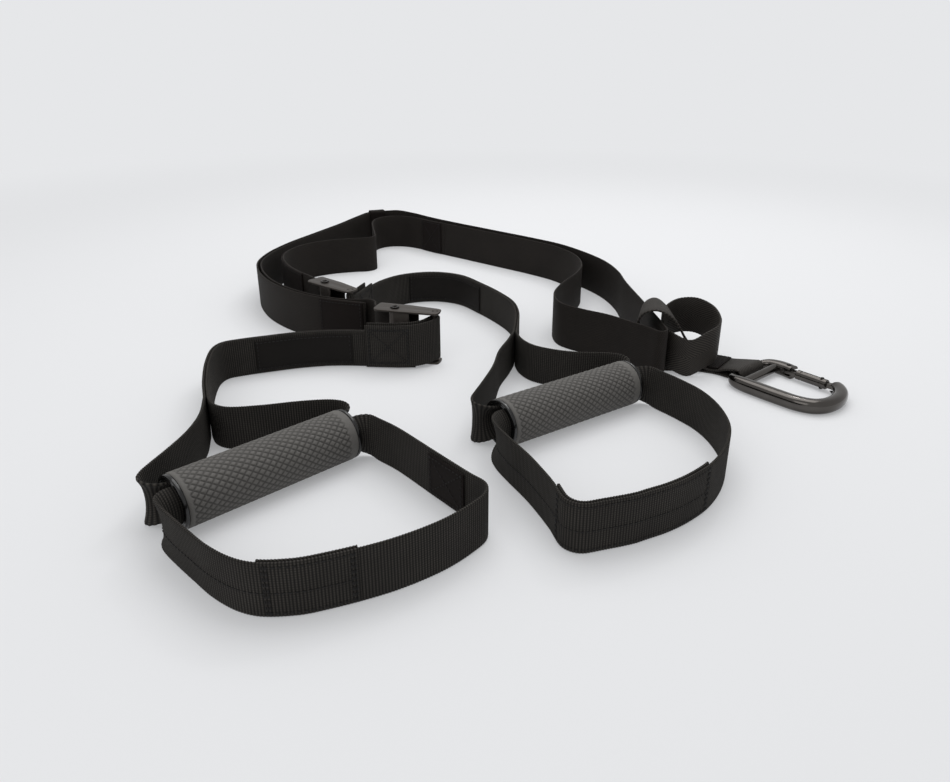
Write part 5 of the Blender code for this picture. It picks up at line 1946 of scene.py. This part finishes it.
@dataclass
class Carabiner:
    """Forged carabiner lying flat, its gate and its two pins."""

    x: float = 1.86
    y: float = -0.78
    heading: float = math.radians(-49.2)
    rod: float = 5.2 * MM
    cross: float = 3.4 * MM
    gate: float = 3.7 * MM
    tongue: float = 3.6 * MM
    play: float = 0.4 * MM
    pin: float = 1.4 * MM
    pin_play: float = 0.3 * MM
    # Length of one share of the drawing
    unit: float = 9.7 * MM
    gate_turn: float = math.radians(-4.4)

    @property
    def along(self) -> Rows:
        """Direction from the end bar to the nose."""
        return ahead_of(self.heading)

    @property
    def origin(self) -> Rows:
        """Middle of the end bar, before the part is centred."""
        return np.array((self.x * LAYOUT, self.y * LAYOUT, self.rod))

    @property
    def hinge(self) -> tuple[float, float]:
        """Local place of the hinge pin."""
        return 2.20 * self.unit, 2.30 * self.unit

    def place(self, x: float = 0.0, y: float = 0.0, z: float = 0.0, turn: float = 0.0) -> Matrix:
        """Matrix that puts a piece at a local point."""
        spot = self.origin - MIDDLE + self.along * x + left_of(self.along) * y + UP * z
        return Matrix.Translation(spot) @ Matrix.Rotation(self.heading + turn, 4, "Z")

    def cut(self, body: Object, shape: list, high: float, place: Matrix) -> Object:
        """Cut a plate-shaped room out of the body.

        Args:
            body: Object that is cut.
            shape: Outline of the room.
            high: Its height.
            place: Matrix that puts it in the frame.

        Returns:
            The cutter, which goes once the body is baked.
        """
        tool_mesh = plate_mesh("cutter", shape, high, place, (), 0.2 * MM)
        tool = bpy.data.objects.new("cutter", tool_mesh)
        bpy.context.scene.collection.objects.link(tool)
        step = body.modifiers.new("cut", "BOOLEAN")
        step.operation = "DIFFERENCE"
        step.solver = "EXACT"
        step.object = tool
        return tool

    def body_mesh(self) -> Mesh:
        """Sweep the rod, slot it for the gate and add the captive crosspiece.

        Returns:
            The mesh.
        """
        unit = self.unit
        rows = smooth_rows([(x * unit, y * unit, 0.0, share * self.rod) for x, y, share in SPINE], 6)
        body = bpy.data.objects.new("rod", swept_mesh("rod", rows, self.place(), 28, 2.5))
        bpy.context.scene.collection.objects.link(body)
        high = self.tongue + self.play * 2.0
        rooms = []
        for wide, deep, x, y in GATE_ROOMS:
            w, d = wide * unit / 2.0, deep * unit / 2.0
            rooms.append(self.cut(body, rectangle(-w, -d, w, d), high, self.place(x * unit, y * unit)))
        rooms.append(self.cut(body, self.pin_hole(), self.rod * 3.0, self.place(*self.hinge)))
        data = baked(body, "rod")
        for room in rooms:
            bpy.data.objects.remove(room, do_unlink=True)
        bar = rod_outline(self.cross, CROSSPIECE_LENGTH * unit / 2.0, 0.6 * MM)
        x, y = CROSSPIECE_SPOT
        turn = self.place(x * unit, y * unit) @ Matrix.Rotation(math.pi / 2.0, 4, "Z")
        return joined("forged_rod", [data, turned_mesh("captive_bar", bar, turn, 32)])

    def pin_hole(self) -> list:
        """Corners of the hole for the hinge pin."""
        return ring_points(0.0, 0.0, self.pin + self.pin_play, 24)

    def gate_mesh(self) -> Mesh:
        """Turned gate with a tongue at the hinge and a flat tip for the nose.

        Returns:
            The mesh.
        """
        unit = self.unit
        start, stop = (share * unit for share in GATE_BAR)
        r = self.gate
        # Each end of the bar, from its face: an eased corner, then a groove
        end = [(r - 0.5 * MM, 0.0), (r, 0.5 * MM), (r, 3.4 * MM)]
        waist = r - 0.45 * MM
        end += [(waist, 3.8 * MM), (waist, 4.6 * MM), (r, 5.0 * MM)]
        shape = [(0.0, start)] + [(x, start + run) for x, run in end]
        shape += [(x, stop - run) for x, run in reversed(end)] + [(0.0, stop)]
        place = self.place(*self.hinge, 0.0, self.gate_turn)
        shells = [turned_mesh("gate_bar", shape, place, 36)]
        for low, high, wide in GATE_FLATS:
            w = wide * unit / 2.0
            flat = eased_corners(rectangle(low * unit, -w, high * unit, w), 1.6 * MM)
            holes = (self.pin_hole(),) if low < 0.0 else ()
            shells.append(plate_mesh("tongue", flat, self.tongue, place, holes))
        return joined("gate", shells)

    def pin_mesh(self, x: float, y: float, low: float, high: float) -> Mesh:
        """Upright pin with a domed end.

        Args:
            x: Run of the pin from the end bar.
            y: Place across.
            low: Height of its lower end.
            high: Height of its upper end.

        Returns:
            The mesh.
        """
        r = self.pin
        dome = [(r, high - 0.6 * MM), (r * 0.85, high - 0.2 * MM), (r * 0.5, high), (0.0, high)]
        turn = self.place(x, y) @ Matrix.Rotation(-math.pi / 2.0, 4, "Y")
        return turned_mesh("pin", [(0.0, low), (r, low)] + dome, turn, 28)

    def build(self) -> None:
        """Make the body, the gate and the pins."""
        forging, bar = creased(self.body_mesh(), 40.0), creased(self.gate_mesh())
        finished_piece("carabiner_forging", forging, BLACK_CHROME, "carabiner", "carabiner_body")
        finished_piece("gate_bar", bar, BLACK_CHROME, "gate", "carabiner_gate")
        x, y = self.hinge
        proud = self.pin * 0.5
        pin = creased(self.pin_mesh(x, y, LAY_GAP - self.rod, self.rod + proud))
        finished_piece("hinge_pin", pin, BLUED_STEEL, "carabiner", "gate_hinge_pin")
        run = NOSE_PIN * self.unit
        x += run * math.cos(self.gate_turn)
        y += run * math.sin(self.gate_turn)
        stud = creased(self.pin_mesh(x, y, -self.gate - proud, self.gate + proud))
        finished_piece("nose_pin", stud, BLUED_STEEL, "gate", "gate_nose_pin")


@dataclass
class AnchorEnd:
    """Tape folded round the end bar and arched over the long strap, its tack, and the loose ring."""

    carabiner: Carabiner
    width: float = 32.0 * MM
    thick: float = 1.6 * MM
    facing: float = 1.0 * MM
    end_bar: float = 2.8 * MM
    strap_width: float = STRAP_WIDTH
    ring_width: float = HAND_WIDTH
    # Part of the tape's width that the tack covers, and the arch's height as a share of the strap's width
    tack_cover: float = 0.9
    arch_share: float = 1.30

    @property
    def floor_layer(self) -> float:
        """Height of the tape on the floor."""
        return self.thick / 2.0 + LAY_GAP

    @property
    def upper_layer(self) -> float:
        """Height of the tape's upper layer where it is sewn."""
        return self.floor_layer + self.thick + LAY_GAP * 3.0

    def stations(self) -> tuple[Rows, Rows]:
        """Stations of the tape.

        Returns:
            Places in plan, and headings of the tape's width.
        """
        line = np.array(ANCHOR_LINE) * LAYOUT
        ahead = np.gradient(line, axis=0)
        ahead[0] = -self.carabiner.along[:2]
        return line, np.arctan2(ahead[:, 0], -ahead[:, 1])

    def tape(self) -> Band:
        """Closed loop of tape: up from the end bar, over the strap and back along the floor.

        Returns:
            The band.
        """
        line, turn = self.stations()
        fold = self.end_bar + LAY_GAP + self.thick / 2.0
        arch = self.strap_width * self.arch_share
        rod, low, top = self.carabiner.rod, self.floor_layer, self.upper_layer
        # Station of the line and height there: out along the upper layer and the arch, back along the floor
        heights = [
            (0, rod + fold), (1, rod + fold * 0.4), (2, top), (3, top),
            (4, arch * 0.20), (5, arch * 0.60), (6, arch * 0.90), (7, arch),
            (8, arch * 0.92), (9, arch * 0.70), (9, arch * 0.30), (8, low + 1.5 * MM),
        ]
        heights += [(i, low) for i in range(7, 1, -1)] + [(1, low + LAY_GAP), (0, rod - fold)]
        knots = [(line[i][0], line[i][1], z, turn[i]) for i, z in heights]
        rows = smooth_rows(knots, 14)
        side = level_directions(rows[:, 3])
        bend = []
        for degrees in range(-75, 90, 15):
            t = math.radians(degrees)
            spot = self.carabiner.origin + self.carabiner.along * fold * math.cos(t) + UP * fold * math.sin(t)
            bend.append((*spot, 0.0))
        rows[:, 3] = 0.0
        rows = np.vstack((rows, np.array(bend)))
        side = np.vstack((side, np.tile(side[0], (len(bend), 1))))
        return Band(
            "anchor_strap_cloth", rows, self.width, self.thick, TWILL_TAPE, across=side, closed=True,
            edge_depth=0.2 * MM, held="folded",
        )

    def ring(self) -> Band:
        """Loose ring of the tape standing round the anchor.

        Returns:
            The band.
        """
        rounds = RING_ROUTE[-2:] + RING_ROUTE + RING_ROUTE[:2]
        points = [(x * LAYOUT, y * LAYOUT, self.ring_width / 2.0 + lift * LIFT, 0.0) for x, y, lift in rounds]
        steps = 24
        rows = smooth_rows(points, steps)[2 * steps:(2 + len(RING_ROUTE)) * steps]
        return Band(
            "anchor_ring_cloth", rows, self.ring_width, self.thick, TWILL_TAPE, closed=True,
            edge_depth=0.2 * MM,
        )

    def tack(self) -> Band:
        """Sewn patch that holds the two layers together.

        Returns:
            The band.
        """
        line, turn = self.stations()
        shares = np.linspace(0.0, 1.0, 9)
        height = self.upper_layer + self.thick / 2.0 + LAY_GAP + self.facing / 2.0
        rows = np.array([(*(line[2] * (1.0 - s) + line[3] * s), height, 0.0) for s in shares])
        side = level_directions(turn[2] * (1.0 - shares) + turn[3] * shares)
        return Band(
            "anchor_tack_cloth", rows, self.width * self.tack_cover, self.facing, FACING_TAPE, across=side,
            rests_on=("anchor_strap_cloth",),
        )

    def build(self) -> None:
        """Make the tape, the ring and the sewn tack."""
        self.tape().build()
        self.ring().build()
        tack = self.tack()
        tack.build()
        sewing = Stitching("anchor_stitching", pitch=2.2 * MM, bar=1.8 * MM)
        lift_side = 1.0 if tack.facing[0][2] > 0.0 else -1.0
        half_row = 13.0 * MM
        for k in range(5):
            run = (1.5 + k * 2.4) * MM
            sewing.line(tack, [(run, -half_row), (run, half_row)], lift_side)
        sewing.build()


@dataclass
class Lamp:
    """Soft square lamp that faces the object."""

    name: str
    place: Place
    size: float
    power: float

    def build(self) -> None:
        """Put the lamp in the scene."""
        data = bpy.data.lights.new(self.name, "AREA")
        data.shape = "SQUARE"
        data.size = self.size
        data.energy = self.power
        lamp = bpy.data.objects.new(self.name, data)
        lamp.location = self.place
        lamp.rotation_euler = (-Vector(self.place)).to_track_quat("-Z", "Y").to_euler()
        bpy.context.scene.collection.objects.link(lamp)


LAMPS = (
    Lamp("overhead_softbox", (0.10, 0.35, 1.10), size=1.1, power=7.6),
    Lamp("front_fill", (-0.70, -1.10, 0.80), size=0.8, power=2.5),
    Lamp("ceiling_spot", (0.45, 0.70, 1.05), size=0.10, power=0.7),
)


@dataclass
class Studio:
    """Pale floor, soft lamps and the camera at the photograph's angle."""

    backdrop: str = "#e6e7e9"
    air: str = "#ffffff"
    air_strength: float = 0.61
    floor_size: float = 60.0
    # Distances between which the floor takes on the backdrop's glow, and the share that it gets nearer than
    # that: painted light that lifts the object's shadows
    glow_reach: tuple[float, float] = (0.55, 1.3)
    painted_glow_share: float = 0.3
    lens: float = 30.316
    sensor: float = 36.0
    pitch_degrees: float = 65.85
    camera_place: Place = (-0.02764, -0.64433, 0.242)

    def floor(self) -> None:
        """Pale floor that takes the shadow near the object, lifted by a painted glow, and runs into the
        background far from it.
        """
        half = self.floor_size / 2.0
        data = bpy.data.meshes.new("studio_floor")
        corners = [(x, y, 0.0) for x, y in rectangle(-half, -half, half, half)]
        data.from_pydata(corners, [], [(0, 1, 2, 3)])
        made, tree, shader = blank_material("painted_studio_floor")
        feed(shader, {"Base Color": linear(self.backdrop), "Roughness": 0.9, "Specular IOR Level": 0.1})
        place = add_node(tree, "ShaderNodeTexCoord", {})
        far = add_node(tree, "ShaderNodeVectorMath", {0: place.outputs["Object"]}, operation="LENGTH")
        near_end, far_end = self.glow_reach
        # Near the object the floor keeps a share of painted glow, which lifts its shadows
        reach = {0: far.outputs["Value"], 1: near_end, 2: far_end, 3: self.painted_glow_share}
        share = add_node(tree, RANGE, reach, interpolation_type="SMOOTHSTEP")
        glow = add_node(tree, "ShaderNodeEmission", {0: linear(self.backdrop), 1: 1.0})
        blend = {0: share, 1: shader, 2: glow}
        mixed = add_node(tree, "ShaderNodeMixShader", blend)
        feed(tree.nodes["Material Output"], {"Surface": mixed})
        data.materials.append(made)
        floor = bpy.data.objects.new("studio_floor", data)
        bpy.context.scene.collection.objects.link(floor)

    def world(self) -> bpy.types.World:
        """Air that lights the object from all sides, and shows the camera the backdrop's colour.

        Returns:
            The world.
        """
        made = bpy.data.worlds.new("studio_air")
        made.use_nodes = True
        tree = made.node_tree
        air = tree.nodes["Background"]
        feed(air, {0: linear(self.air), 1: self.air_strength})
        seen = add_node(tree, "ShaderNodeLightPath", {})
        rays = {0: seen.outputs["Is Camera Ray"], 1: seen.outputs["Is Transmission Ray"]}
        shown = add_node(tree, MATH, rays, operation="MAXIMUM")
        pale = add_node(tree, "ShaderNodeBackground", {0: linear(self.backdrop), 1: 1.0})
        blend = {0: shown, 1: air, 2: pale}
        mixed = add_node(tree, "ShaderNodeMixShader", blend)
        feed(tree.nodes["World Output"], {"Surface": mixed})
        return made

    def camera(self) -> Object:
        """Camera at the photograph's angle.

        Returns:
            The camera.
        """
        data = bpy.data.cameras.new("photograph_camera")
        data.lens = self.lens
        data.sensor_width = self.sensor
        data.sensor_fit = "HORIZONTAL"
        data.clip_start = 0.01
        made = bpy.data.objects.new("photograph_camera", data)
        made.location = self.camera_place
        made.rotation_euler = (math.radians(self.pitch_degrees), 0.0, 0.0)
        return made

    def build(self) -> None:
        """Set the view, the world, the floor, the lamps and the camera."""
        scene = bpy.context.scene
        scene.view_settings.view_transform = "Standard"
        scene.world = self.world()
        self.floor()
        for lamp in LAMPS:
            lamp.build()
        camera = self.camera()
        scene.collection.objects.link(camera)
        scene.camera = camera


def main() -> None:
    """Build the studio and the trainer."""
    logging.basicConfig(level=logging.INFO, format="%(message)s")
    Studio().build()
    grip_a = Grip("a", x=-1.424, y=-2.449, heading=math.radians(45.0))
    grip_b = Grip("b", x=0.385, y=-1.586, heading=math.radians(35.7))
    buckle_a = CamBuckle("a", x=-1.02, y=-0.33, heading=math.radians(-16.7))
    buckle_b = CamBuckle("b", x=-1.66, y=0.44, heading=math.radians(-41.9))
    hand_a = HandSet(
        "a", grip_a, buckle_a,
        bundle=BUNDLE_A, leg_out=LEG_OUT_A, leg_back=LEG_BACK_A,
        foot_before=FOOT_BEFORE_A, foot_after=FOOT_AFTER_A, tab_legs=TAB_LEGS_A,
        pad_shares=(0.955, 0.055), patch_shares=(0.66, 0.73), patch_side=-1.0,
        label_shares=(0.20, 0.50), label_side=1.0,
    )
    hand_b = HandSet(
        "b", grip_b, buckle_b,
        bundle=BUNDLE_B, leg_out=LEG_OUT_B, leg_back=LEG_BACK_B,
        foot_before=FOOT_BEFORE_B, foot_after=FOOT_AFTER_B, tab_legs=TAB_LEGS_B,
        pad_shares=(0.90, 0.130), patch_shares=(0.15, 0.172), patch_side=-1.0,
        label_shares=(0.30, 0.58), label_side=-1.0,
    )
    long_webbing = LongWebbing(buckle_a, buckle_b)
    carabiner = Carabiner()
    anchor = AnchorEnd(carabiner)
    for group in (grip_a, grip_b, buckle_a, buckle_b, hand_a, hand_b, long_webbing, carabiner, anchor):
        log.info("building %s", type(group).__name__)
        group.build()


if __name__ == "__main__":
    main()
